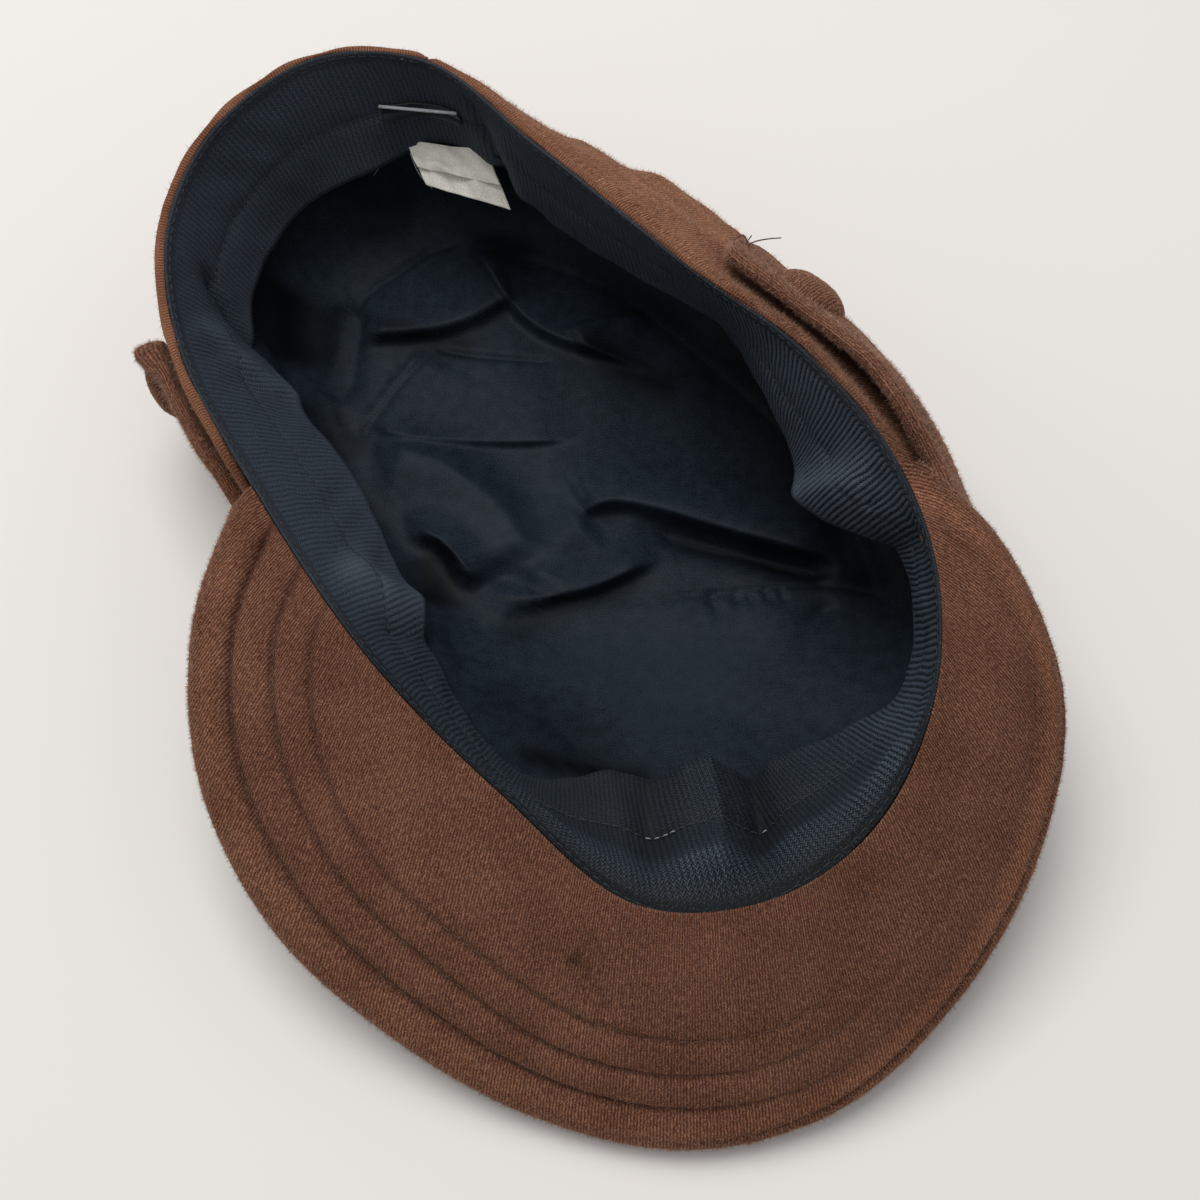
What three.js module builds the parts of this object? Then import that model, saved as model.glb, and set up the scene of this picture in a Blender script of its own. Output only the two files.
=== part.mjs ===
// An army cap of brushed cotton, lying upside down on its crown with the opening up.
// Millimetres, +Z up. The peak points to -Y, and the origin is on the surface below
// the middle of the cap. The opening is squeezed to a narrow oval and leans to -X.
import * as THREE from 'three';
import { mergeVertices } from 'three/addons/utils/BufferGeometryUtils.js';

// Driving dimensions
const CLOTH = 2.0; // wall of brushed cotton, two thin layers
const LINING = 1.0; // cotton sateen
const BAND = 1.2; // ribbed ribbon
const CLEAR = 0.4; // gap between pieces that touch
const LINING_CLEAR = 1.2; // the lining hangs loose inside the wall
const PEAK_THICK = 4.6; // cloth, board, cloth
const PEAK_BOW = 2.0; // the board bulges this much upwards between rim and edge
const PEAK_SINK = 9.5; // the wall ends this far under the rim where the peak is sewn on
const TOP_THICK = 1.6;
const BASE_ROLL = 4.0; // radius of the turned seam between wall and top
const STRAP_THICK = 4.0;
const STRAP_HIGH = 19;
const STRAP_DROP = 7; // the strap's upper edge is this far below the rim
const BUTTON_R = 9.5;
const BUTTON_HIGH = 4.8;
const BUTTON_EDGE = 1; // straight part of the button's side
const LABEL_THICK = 0.7;
const TOP_CENTRE = [8, 56]; // middle of the top panel
const MIDDLE = [0.2, 0]; // middle of the cap in the frame of the tables below

// Sections round the body, clockwise seen from above, from the rear centre seam.
// rim: where cloth and sweatband meet. mid: the wall's outer face about half-way down.
// base: the outer edge of the turned seam on which the cap lies.
const SECTIONS = [
  { at: 'rear', rim: [-38, 116, 70], mid: [-31, 126, 34], base: [-30, 119] },
  { at: 'rear right', rim: [-6, 87, 72], mid: [14, 110, 31], base: [9, 105] },
  { at: 'right back', rim: [24, 56, 72], mid: [46, 80, 31], base: [42, 76] },
  { at: 'right', rim: [48, 34, 71], mid: [71, 51, 32], base: [66, 48] },
  { at: 'right corner', rim: [66, 11, 68], mid: [86, 17, 31], base: [81, 18] },
  { at: 'right front', rim: [75, -14, 63], mid: [90, -12, 28], base: [84, -4] },
  { at: 'front right', rim: [74, -42, 56], mid: [82, -34, 22], base: [70, -12] },
  { at: 'front turn', rim: [61, -68, 50], mid: [60, -46, 16], base: [50, -10] },
  { at: 'front centre', rim: [40, -82, 45], mid: [38, -48, 13], base: [32, -8] },
  { at: 'front left', rim: [12, -83, 43], mid: [12, -46, 13], base: [12, -9] },
  { at: 'left front', rim: [-16, -60, 43], mid: [-14, -34, 15], base: [-8, -9] },
  { at: 'left mid front', rim: [-46, -30, 47], mid: [-44, -18, 19], base: [-30, -3] },
  { at: 'left corner', rim: [-74, 10, 51], mid: [-69, 14, 22], base: [-54, 20] },
  { at: 'left', rim: [-94, 46, 54], mid: [-87, 46, 24], base: [-70, 46] },
  { at: 'left rear', rim: [-99, 78, 57], mid: [-93, 80, 26], base: [-77, 76] },
  { at: 'rear left', rim: [-89, 104, 61], mid: [-84, 108, 30], base: [-70, 101] },
  { at: 'rear turn', rim: [-66, 120, 66], mid: [-59, 126, 33], base: [-51, 117] },
];

// Free lower edge of the sweatband, one row for each section above.
const BAND_EDGE = [
  [-35, 117, 38], [-2, 86, 39], [34, 58, 41], [47, 28, 43], [53, 8, 44], [73, -6, 42],
  [71, -34, 36], [46, -47, 33], [30, -50, 32], [8, -51, 31], [-14, -50, 29], [-36, -18, 26],
  [-54, 24, 24], [-76, 54, 24], [-85, 76, 25], [-76, 100, 29], [-58, 110, 34],
];

// Outer edge of the peak, from the right corner round the front to the left corner.
// turn: where along the rim the board is measured from, as a share of the whole rim.
const PEAK_EDGE = [
  { turn: 0.262, edge: [70, 9, 67] },
  { turn: 0.290, edge: [93, -7, 52] },
  { turn: 0.325, edge: [106, -37, 37] },
  { turn: 0.362, edge: [99, -70, 25] },
  { turn: 0.405, edge: [81, -98, 14] },
  { turn: 0.440, edge: [56, -119, 6] },
  { turn: 0.480, edge: [24, -127, 3] },
  { turn: 0.515, edge: [-11, -120, 4] },
  { turn: 0.560, edge: [-41, -105, 11] },
  { turn: 0.615, edge: [-67, -84, 20] },
  { turn: 0.660, edge: [-84, -54, 30] },
  { turn: 0.700, edge: [-87, -21, 40] },
  { turn: 0.726, edge: [-78, 8, 51] },
];

// Dents of the soft wall: each runs between two places, given as the turn and the share
// of the way down, and sinks by high over a width of about twice wide.
const WALL_DENTS = [
  { from: [0.02, 0.3], to: [0.06, 0.5], high: 3, wide: 8 },
  { from: [0.06, 0.62], to: [0.15, 0.7], high: 2.5, wide: 9 },
  { from: [0.24, 0.7], to: [0.31, 0.5], high: 4, wide: 10 },
  { from: [0.44, 0.5], to: [0.53, 0.62], high: 3, wide: 10 },
  { from: [0.61, 0.35], to: [0.66, 0.75], high: 4, wide: 9 },
  { from: [0.76, 0.7], to: [0.84, 0.55], high: 3, wide: 9 },
  { from: [0.93, 0.4], to: [0.96, 0.75], high: 3, wide: 9 },
];
const RIM_LENGTH = 580; // a turn of the rim
const WALL_HIGH = 80; // the wall's usual length from rim to seam

// Folds that stand up in the top of the lining: from one end to the other, in plan.
const LINING_FOLDS = [
  { from: [-20, 8], to: [16, 22], high: 7, wide: 8 },
  { from: [22, 26], to: [72, 12], high: 9, wide: 9 },
  { from: [-52, 62], to: [-24, 74], high: 6, wide: 8 },
  { from: [6, 66], to: [34, 50], high: 5, wide: 9 },
];

// The strap crosses the front under the peak, and its ends stand off the sides by off.
const STRAP_FROM = 0.158;
const STRAP_TO = 0.808;
const STRAP_FLARE = [
  { along: 0, off: 0 },
  { along: 0.05, off: 0.5 },
  { along: 0.14, off: 1 },
  { along: 0.24, off: 0 },
  { along: 0.84, off: 0 },
  { along: 0.93, off: 2.5 },
  { along: 1, off: 5 },
];

// The care label hangs below the sweatband at the rear: corners in order round it.
const CARE_LABEL = [[-46, 116, 36.5], [-25, 111, 37], [-19, 103, 27], [-41, 111, 26]];

// The woven label lies on the ribbon at the rear. from, to: turns. top, bottom: shares of
// the ribbon's width.
const WOVEN_LABEL = { from: -0.022, to: 0.013, top: 0.56, bottom: 0.84 };

// Places along the strap, from its right end to its left end, where the buttons sit
const BUTTONS = { right: 0.04, left: 0.975 };

// Sections are cut at the same turns through every layer, so that layers nest cleanly.
const CUTS = 72;
const FRONT_CUT = 35;
const PEAK_CUTS = 56;
const STRAP_CUTS = 60;
const LABEL_CUTS = 6;
const BUTTON_SIDES = 20;

// Shares of the way down at which sections have points
const ROLL_START = 0.9; // the wall turns under from here down
const DOWNS = [0, 0.1, 0.2, 0.3, 0.45, 0.6, 0.75, 0.88, 0.925, 0.96, 1];
const LINING_DOWNS = [0.3, 0.45, 0.6, 0.75, 0.88];
const BAND_DOWNS = [0.01, 0.35, 0.7, 1];

// A closed smooth curve through points.
function loop(points) {
  return new THREE.CatmullRomCurve3(points.map((p) => new THREE.Vector3(...p)), true);
}

function path(points) {
  return new THREE.CatmullRomCurve3(points.map((p) => new THREE.Vector3(...p)), false);
}

// The same share of a turn on every loop is the same section of the cap.
const rimLoop = loop(SECTIONS.map((s) => s.rim));
const midLoop = loop(SECTIONS.map((s) => s.mid));
const baseLoop = loop(SECTIONS.map((s) => [...s.base, BASE_ROLL]));
const bandLoop = loop(BAND_EDGE);
const wrap = (turn) => ((turn % 1) + 1) % 1;

// Shares of the rim's length become shares of the table's rows.
const rowTurn = (turn) => rimLoop.getUtoTmapping(wrap(turn));
const onRim = (turn) => rimLoop.getPoint(rowTurn(turn));
const onMid = (turn) => midLoop.getPoint(rowTurn(turn));
const onBase = (turn) => baseLoop.getPoint(rowTurn(turn));
const onBand = (turn) => bandLoop.getPoint(rowTurn(turn));

// Level direction away from the opening, square to a loop.
function outward(curve, turn) {
  const step = 0.004;
  const a = curve(turn - step);
  const b = curve(turn + step);
  return new THREE.Vector3(-(b.y - a.y), b.x - a.x, 0).normalize();
}

const smooth = (x) => THREE.MathUtils.smoothstep(x, 0, 1);

// How far the wall's upper end sinks: nothing at the rear, all of it behind the peak.
function sink(turn) {
  const ramp = 0.025;
  const first = PEAK_EDGE[0].turn;
  const last = PEAK_EDGE[PEAK_EDGE.length - 1].turn;
  return PEAK_SINK * smooth((turn - first + ramp) / ramp) * smooth((last + ramp - turn) / ramp);
}

// Height of soft ridges at a place: each runs straight between two ends and falls away
// on both sides as a bell curve. toFlat turns a table's place into millimetres.
function ridges(rows, place, toFlat) {
  const here = new THREE.Vector2(...toFlat(place));
  let sum = 0;
  for (const row of rows) {
    const from = new THREE.Vector2(...toFlat(row.from));
    const along = new THREE.Vector2(...toFlat(row.to)).sub(from);
    const offset = here.clone().sub(from);
    const share = THREE.MathUtils.clamp(offset.dot(along) / along.lengthSq(), 0, 1);
    const away = offset.distanceTo(along.multiplyScalar(share));
    sum += row.high * Math.exp(-((away / row.wide) ** 2));
  }
  return sum;
}

const wallPlace = ([turn, down]) => [turn * RIM_LENGTH, down * WALL_HIGH];
const dentDepth = (turn, down) => ridges(WALL_DENTS, [wrap(turn), down], wallPlace);

// Outer face of the wall: down = 0 at the rim, 1 at the turned seam.
function wallPoint(turn, down) {
  const rim = onRim(turn).addScaledVector(outward(onRim, turn), CLOTH + CLEAR);
  rim.z += CLEAR - sink(turn);
  const mid = onMid(turn);
  const base = onBase(turn);
  const under = base.clone().addScaledVector(outward(onBase, turn), -BASE_ROLL);
  under.z = CLEAR;
  if (down > ROLL_START) {
    const angle = ((down - ROLL_START) / (1 - ROLL_START)) * (Math.PI / 2);
    const point = under.clone().lerp(base, Math.cos(angle));
    point.z = base.z + (CLEAR - base.z) * Math.sin(angle);
    return point;
  }
  const t = down / ROLL_START;
  const fade = 4 * t * (1 - t);
  // A parabola through rim, mid and base, less the dents, which fade out at both ends
  return rim.multiplyScalar((1 - t) * (1 - 2 * t))
    .addScaledVector(mid, 4 * t * (1 - t))
    .addScaledVector(base, t * (2 * t - 1))
    .addScaledVector(outward(onRim, turn), -fade * dentDepth(turn, down));
}

function surfaceNormal(surface, u, v) {
  const step = 0.004;
  const du = surface(u + step, v).sub(surface(u - step, v));
  const lower = Math.max(v - step, 0);
  const upper = Math.min(v + step, 1);
  const dv = surface(u, upper).sub(surface(u, lower));
  return du.cross(dv).normalize();
}

// A closed solid from rings of points: each ring is a section's outline, in order.
// Open ends are closed by strips across the section, between its two long sides.
function tubeOf(rings, closed) {
  const sides = rings[0].length;
  const positions = rings.flat().flatMap((p) => [p.x, p.y, p.z]);
  const faces = [];
  const quad = (a, b, c, d) => faces.push(a, b, c, a, c, d);
  const spans = closed ? rings.length : rings.length - 1;
  for (let i = 0; i < spans; i += 1) {
    const here = i * sides;
    const next = ((i + 1) % rings.length) * sides;
    for (let j = 0; j < sides; j += 1) {
      const k = (j + 1) % sides;
      quad(here + j, next + j, next + k, here + k);
    }
  }
  if (!closed) {
    const last = (rings.length - 1) * sides;
    for (let j = 0; j < sides / 2 - 1; j += 1) {
      const [a, b, c, d] = [j, j + 1, sides - j - 2, sides - j - 1];
      quad(a, b, c, d);
      quad(last + a, last + d, last + c, last + b);
    }
  }
  return solid(positions, faces);
}

// A closed mesh with its faces pointing out: all are turned round if it is inside out.
function solid(positions, faces) {
  const point = (i) => new THREE.Vector3().fromArray(positions, 3 * i);
  let volume = 0;
  for (let i = 0; i < faces.length; i += 3) {
    const [a, b, c] = faces.slice(i, i + 3).map(point);
    volume += a.dot(b.cross(c));
  }
  const shape = new THREE.BufferGeometry();
  shape.setAttribute('position', new THREE.Float32BufferAttribute(positions, 3));
  shape.setIndex(volume < 0 ? faces.slice().reverse() : faces);
  return shape;
}

// A sheet's section as a thin closed outline: down one face and back up the other.
function sheetRing(surface, turn, downs, near, far) {
  const face = (offset) => downs.map((v) => {
    const normal = surfaceNormal(surface, turn, v);
    return surface(turn, v).addScaledVector(normal, offset);
  });
  return [...face(near), ...face(far).reverse()];
}

function steps(from, to, count) {
  return Array.from({ length: count + 1 }, (_, i) => from + ((to - from) * i) / count);
}

// Crown side: two halves, meeting at the front and rear centre seams.
function crownSide(fromCut, toCut) {
  const halfSeam = CLEAR / 2 / RIM_LENGTH;
  const turns = steps(fromCut, toCut, toCut - fromCut).map((cut) => cut / CUTS);
  turns[0] += halfSeam;
  turns[turns.length - 1] -= halfSeam;
  return tubeOf(turns.map((turn) => sheetRing(wallPoint, turn, DOWNS, -CLOTH, 0)), false);
}

// A flat or folded plate: fans and rings from a centre out to an outline, on two faces.
function plate(outline, centre, lower, thick, across) {
  const positions = [];
  const faces = [];
  const face = 1 + across * CUTS; // points on one face
  for (const lift of [0, thick]) {
    positions.push(centre.x, centre.y, lower(centre.x, centre.y) + lift);
    for (let r = 1; r <= across; r += 1) {
      for (let i = 0; i < CUTS; i += 1) {
        const p = centre.clone().lerp(outline(i / CUTS), r / across);
        positions.push(p.x, p.y, lower(p.x, p.y) + lift);
      }
    }
  }
  const at = (r, i) => 1 + (r - 1) * CUTS + (i % CUTS);
  const both = (a, b, c) => faces.push(a, b, c, face + a, face + c, face + b);
  for (let i = 0; i < CUTS; i += 1) {
    both(0, at(1, i), at(1, i + 1));
    for (let r = 1; r < across; r += 1) {
      both(at(r, i), at(r + 1, i), at(r + 1, i + 1));
      both(at(r, i), at(r + 1, i + 1), at(r, i + 1));
    }
    const [a, b] = [at(across, i), at(across, i + 1)];
    faces.push(a, face + a, face + b, a, face + b, b);
  }
  return solid(positions, faces);
}

const topCentre = new THREE.Vector3(...TOP_CENTRE, 0);

function inset(curve, distance) {
  return (turn) => {
    const p = curve(turn).addScaledVector(outward(curve, turn), -distance);
    p.z = 0;
    return p;
  };
}

function crownTop() {
  const outline = inset(onBase, BASE_ROLL + CLEAR);
  return plate(outline, topCentre, () => 0, TOP_THICK, 1);
}

// Height of the lining's folds above its flat part
const foldHeight = (x, y) => ridges(LINING_FOLDS, [x, y], (place) => place);

function liningTop() {
  const outline = inset(onBase, BASE_ROLL + 2 * CLOTH);
  const floor = TOP_THICK + CLEAR;
  return plate(outline, topCentre, (x, y) => floor + foldHeight(x, y), LINING, 8);
}

// A closed hoop of sheet, such as a lining or a sweatband
function hoop(surface, downs, near, far) {
  const turns = steps(0, 1, CUTS).slice(0, -1);
  return tubeOf(turns.map((turn) => sheetRing(surface, turn, downs, near, far)), true);
}

// The side lining hangs inside the wall from behind the sweatband to the top lining.
function liningSide() {
  const outer = -CLOTH - LINING_CLEAR;
  return hoop(wallPoint, LINING_DOWNS, outer - LINING, outer);
}

function bandPoint(turn, down) {
  return onRim(turn).lerp(onBand(turn), down);
}

const sweatband = () => hoop(bandPoint, BAND_DOWNS, -BAND, 0);

// The peak: a board between the rim and its own outer edge, with a rounded edge.
const peakTurns = path(PEAK_EDGE.map((row) => [row.turn, 0, 0]));
const peakEdge = path(PEAK_EDGE.map((row) => row.edge));

function peakSection(along) {
  const turn = peakTurns.getPoint(along).x;
  const root = onRim(turn).addScaledVector(outward(onRim, turn), CLEAR);
  const reach = peakEdge.getPoint(along).sub(root);
  const square = peakEdge.getTangent(along).cross(reach).normalize();
  if (square.z < 0) square.negate();
  const upright = new THREE.Vector3(0, 0, 1);
  const half = PEAK_THICK / 2;
  // share: 0 at the rim, 1 at the edge. lift: above the board's middle. The end at the
  // rim stands upright, and its upper face is level with the rim.
  const at = (share, lift) => {
    const up = upright.clone().lerp(square, smooth(share * 3)).normalize();
    return root.clone().addScaledVector(reach, share)
      .addScaledVector(up, lift - half * (1 - share))
      .addScaledVector(square, PEAK_BOW * 4 * share * (1 - share));
  };
  // The edge is round: its circle starts at tip and is met half-way at shoulder.
  const round = half / Math.max(reach.length(), PEAK_THICK);
  const tip = 1 - round;
  const shoulder = 1 - round * (1 - Math.SQRT1_2);
  const shares = [0, 0.25, 0.5, 0.75, tip];
  return [
    ...shares.map((share) => at(share, half)),
    at(shoulder, half * Math.SQRT1_2),
    at(1, 0),
    at(shoulder, -half * Math.SQRT1_2),
    ...shares.reverse().map((share) => at(share, -half)),
    at(0, 0),
  ];
}

// The corners run out to nothing, so the board stops just short of them.
function peak() {
  const short = 0.012;
  return tubeOf(steps(short, 1 - short, PEAK_CUTS).map(peakSection), false);
}

function wallLength(turn) {
  const mid = onMid(turn);
  return onRim(turn).distanceTo(mid) + mid.distanceTo(onBase(turn));
}

// Inner face of the strap: high = 0 at its upper edge, 1 at its lower edge, which leans out
function strapPoint(along, high) {
  const turn = STRAP_FROM + (STRAP_TO - STRAP_FROM) * along;
  const down = (STRAP_DROP + STRAP_HIGH * high) / wallLength(turn);
  const next = Math.max(1, STRAP_FLARE.findIndex((row) => row.along >= along));
  const [a, b] = [STRAP_FLARE[next - 1], STRAP_FLARE[next]];
  const off = a.off + (b.off - a.off) * smooth((along - a.along) / (b.along - a.along));
  const normal = surfaceNormal(wallPoint, turn, down);
  return wallPoint(turn, down).addScaledVector(normal, 2 * CLEAR + off * (0.7 + 0.6 * high));
}

function frontStrap() {
  const highs = [0, 0.5, 1];
  const sections = steps(0, 1, STRAP_CUTS);
  return tubeOf(sections.map((t) => sheetRing(strapPoint, t, highs, 0, STRAP_THICK)), false);
}

// A small plate on a surface, from inner to outer face
function patch(surface, inner, outer) {
  const downs = [0, 0.5, 1];
  const sections = steps(0, 1, LABEL_CUTS);
  return tubeOf(sections.map((u) => sheetRing(surface, u, downs, inner, outer)), false);
}

function careLabel() {
  const [a, b, c, d] = CARE_LABEL.map((p) => new THREE.Vector3(...p));
  return patch((u, v) => a.clone().lerp(b, u).lerp(d.clone().lerp(c, u), v), 0, LABEL_THICK);
}

function wovenLabel() {
  const { from, to, top, bottom } = WOVEN_LABEL;
  const surface = (u, v) => {
    const [turn, down] = [from + (to - from) * u, top + (bottom - top) * v];
    const normal = surfaceNormal(bandPoint, turn, down);
    return bandPoint(turn, down).addScaledVector(normal, -BAND - CLEAR);
  };
  return patch(surface, -LABEL_THICK, 0);
}

// A cloth-covered button: a low dome whose flat back lies on the strap.
function button(along) {
  const profile = [new THREE.Vector2(0, 0), new THREE.Vector2(BUTTON_R - BUTTON_EDGE, 0)];
  for (const angle of steps(0, Math.PI / 2, 5)) {
    const high = BUTTON_EDGE + (BUTTON_HIGH - BUTTON_EDGE) * Math.sin(angle);
    profile.push(new THREE.Vector2(BUTTON_R * Math.cos(angle), high));
  }
  profile[profile.length - 1].x = 0;
  const lathe = new THREE.LatheGeometry(profile, BUTTON_SIDES);
  lathe.deleteAttribute('normal');
  lathe.deleteAttribute('uv');
  const shape = mergeVertices(lathe, 1e-3);
  const normal = surfaceNormal(strapPoint, along, 0.5);
  const place = strapPoint(along, 0.5).addScaledVector(normal, STRAP_THICK + 2 * CLEAR);
  const turned = new THREE.Quaternion().setFromUnitVectors(new THREE.Vector3(0, 1, 0), normal);
  shape.applyQuaternion(turned);
  shape.translate(place.x, place.y, place.z);
  return solid(Array.from(shape.attributes.position.array), Array.from(shape.index.array));
}

const cap = new THREE.Group();

function add(name, shape, color) {
  const material = new THREE.MeshStandardMaterial({ color, roughness: 0.95, metalness: 0 });
  const mesh = new THREE.Mesh(shape, material);
  mesh.name = name;
  cap.add(mesh);
}

const BROWN = 0x5f3a2c;
const NAVY = 0x14171c;
const WHITE = 0xb9b6a8;
const BLACK = 0x0c0d10;

add('crown_top', crownTop(), BROWN);
add('crown_side_right', crownSide(0, FRONT_CUT), BROWN);
add('crown_side_left', crownSide(FRONT_CUT, CUTS), BROWN);
add('peak', peak(), BROWN);
add('sweatband', sweatband(), NAVY);
add('lining_top', liningTop(), NAVY);
add('lining_side', liningSide(), NAVY);
add('front_strap', frontStrap(), BROWN);
add('button_right', button(BUTTONS.right), BROWN);
add('button_left', button(BUTTONS.left), BROWN);
add('care_label', careLabel(), WHITE);
add('woven_label', wovenLabel(), BLACK);

cap.position.set(-MIDDLE[0], -MIDDLE[1], 0);

export default cap;
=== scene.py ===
# %% [markdown]
# # An army cap, lying upside down on its crown
#
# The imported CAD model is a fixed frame: its solids have the right place and size, and no weave,
# stitches or folds. Here each cloth solid gets a detailed piece that takes its place. Every shape
# is a surface worked out with numpy: points on a grid, as a function of two parameters. Lengths
# are in millimetres until they go into a mesh.

# %% Load the frame
import math

import bpy
import numpy as np
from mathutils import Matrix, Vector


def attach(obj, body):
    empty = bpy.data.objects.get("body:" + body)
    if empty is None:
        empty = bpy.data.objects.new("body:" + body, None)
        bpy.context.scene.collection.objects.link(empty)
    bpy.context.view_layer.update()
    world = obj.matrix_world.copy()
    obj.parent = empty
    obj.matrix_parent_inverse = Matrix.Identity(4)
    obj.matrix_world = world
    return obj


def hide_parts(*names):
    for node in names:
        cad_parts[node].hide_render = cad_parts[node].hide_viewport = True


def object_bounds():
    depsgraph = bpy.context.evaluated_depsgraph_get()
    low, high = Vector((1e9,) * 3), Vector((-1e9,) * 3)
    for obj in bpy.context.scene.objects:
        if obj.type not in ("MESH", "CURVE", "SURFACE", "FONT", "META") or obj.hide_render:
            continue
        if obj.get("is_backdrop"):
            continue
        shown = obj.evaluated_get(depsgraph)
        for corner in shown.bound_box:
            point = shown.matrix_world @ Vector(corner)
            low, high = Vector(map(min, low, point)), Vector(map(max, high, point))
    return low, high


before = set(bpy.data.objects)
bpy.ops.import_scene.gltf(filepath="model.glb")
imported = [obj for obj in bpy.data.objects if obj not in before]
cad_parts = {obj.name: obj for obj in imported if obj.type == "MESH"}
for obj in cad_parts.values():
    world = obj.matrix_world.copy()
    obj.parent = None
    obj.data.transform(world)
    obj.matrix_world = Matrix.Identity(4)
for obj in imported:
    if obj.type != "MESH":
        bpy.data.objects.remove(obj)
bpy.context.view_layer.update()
MM = 0.001

# %% [markdown]
# ## Camera
#
# The photo looks down at the cap from 66 degrees above the horizon, from in front of the peak. A
# camera at 24 degrees from straight down, with a 40 degree view, gives the same outline.

# %% Camera
VIEW_ANGLE, CAMERA_TILT = 40, 24
CAMERA_PLACE = (3.8, -164.3, 379.84)
camera_data = bpy.data.cameras.new("photo_camera")
camera_data.angle = math.radians(VIEW_ANGLE)
camera = bpy.data.objects.new("photo_camera", camera_data)
camera.location = [x * MM for x in CAMERA_PLACE]
camera.rotation_euler = (math.radians(CAMERA_TILT), 0, 0)
bpy.context.collection.objects.link(camera)
bpy.context.scene.camera = camera
print("camera at", [round(x / MM) for x in camera.location])

# %% [markdown]
# ## Materials
#
# Each material is a small tree of nodes. One function adds a node with its settings and links, and
# another turns the hex colours of a colour picker into the linear values that light works in.


# %% Node and colour helpers
def linear(code):
    """sRGB hex to linear RGBA: a dark channel is divided by 12.92, any other raised to 2.4."""
    channels = [int(code[i : i + 2], 16) / 255 for i in (1, 3, 5)]
    return [c / 12.92 if c < 0.04045 else ((c + 0.055) / 1.055) ** 2.4 for c in channels] + [1]


def node(tree, kind, inputs=None, **settings):
    """Adds a node. An input that is given as a socket is linked, and any other is set."""
    made = tree.nodes.new(kind)
    for name, value in settings.items():
        setattr(made, name, value)
    for name, value in (inputs or {}).items():
        if isinstance(value, bpy.types.NodeSocket):
            tree.links.new(value, made.inputs[name])
        else:
            made.inputs[name].default_value = value
    return made


def new_material(name, **surface):
    """A material with one shader. The keywords set the shader's own sockets."""
    material = bpy.data.materials.new(name)
    material.use_nodes = True
    shader = material.node_tree.nodes["Principled BSDF"]
    for socket, value in surface.items():
        shader.inputs[socket.replace("_", " ")].default_value = value
    return material, material.node_tree, shader


def flat_mm(tree, stretch=(1, 1)):
    """The cloth's flat map in millimetres. A stretch of 3 makes a pattern three times as long."""
    flat = node(tree, "ShaderNodeUVMap", uv_map="cloth").outputs["UV"]
    scale = (1 / MM / stretch[0], 1 / MM / stretch[1], 1)
    return node(tree, "ShaderNodeMapping", {"Vector": flat, "Scale": scale}).outputs["Vector"]


def wave(tree, where, pitch, direction="X", **inputs):
    """Bands across the map. The wave texture's own unit is a tenth of pi, so its scale is that
    over the pitch."""
    inputs = {"Vector": where, "Scale": math.pi / 10 / pitch} | inputs
    return node(tree, "ShaderNodeTexWave", inputs, bands_direction=direction).outputs["Fac"]


def noise(tree, where, scale, detail=4.0):
    made = node(tree, "ShaderNodeTexNoise", {"Vector": where, "Scale": scale, "Detail": detail})
    return made.outputs["Fac"]


def mix(tree, factor, a, b, data_type="FLOAT", blend_type="MIX"):
    """Blends two numbers or two colours."""
    mixer = node(tree, "ShaderNodeMix", data_type=data_type, blend_type=blend_type)
    live = [s for s in mixer.inputs if s.enabled]
    for socket, value in zip(live, (factor, a, b)):
        if isinstance(value, bpy.types.NodeSocket):
            tree.links.new(value, socket)
        else:
            socket.default_value = value
    return next(s for s in mixer.outputs if s.enabled)


def ramp(tree, factor, *stops):
    """A colour ramp from pairs of place and hex colour."""
    made = node(tree, "ShaderNodeValToRGB", {"Fac": factor})
    while len(made.color_ramp.elements) < len(stops):
        made.color_ramp.elements.new(0.5)
    for element, (place, code) in zip(made.color_ramp.elements, stops):
        element.position, element.color = place, linear(code)
    return made.outputs["Color"]


def paint_light_and_shade(tree, colour, pale, dark):
    """The attribute mixes a colour towards pale above zero as painted light, and towards dark
    below it as painted shade.
    """
    wear_and_painted_light = node(tree, "ShaderNodeAttribute", attribute_name="wear_and_painted_light").outputs["Fac"]
    deep = node(tree, "ShaderNodeMath", {0: wear_and_painted_light, 1: -1.0}, operation="MULTIPLY").outputs[0]
    return mix(tree, deep, mix(tree, wear_and_painted_light, colour, linear(pale), "RGBA"), linear(dark), "RGBA")


def finish_cloth(tree, shader, colour, height, depth):
    """Links the colour, and the height as a bump of that depth in millimetres."""
    tree.links.new(colour, shader.inputs["Base Color"])
    bump = node(tree, "ShaderNodeBump", {"Height": height, "Strength": 1.0, "Distance": depth * MM})
    tree.links.new(bump.outputs["Normal"], shader.inputs["Normal"])
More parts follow.
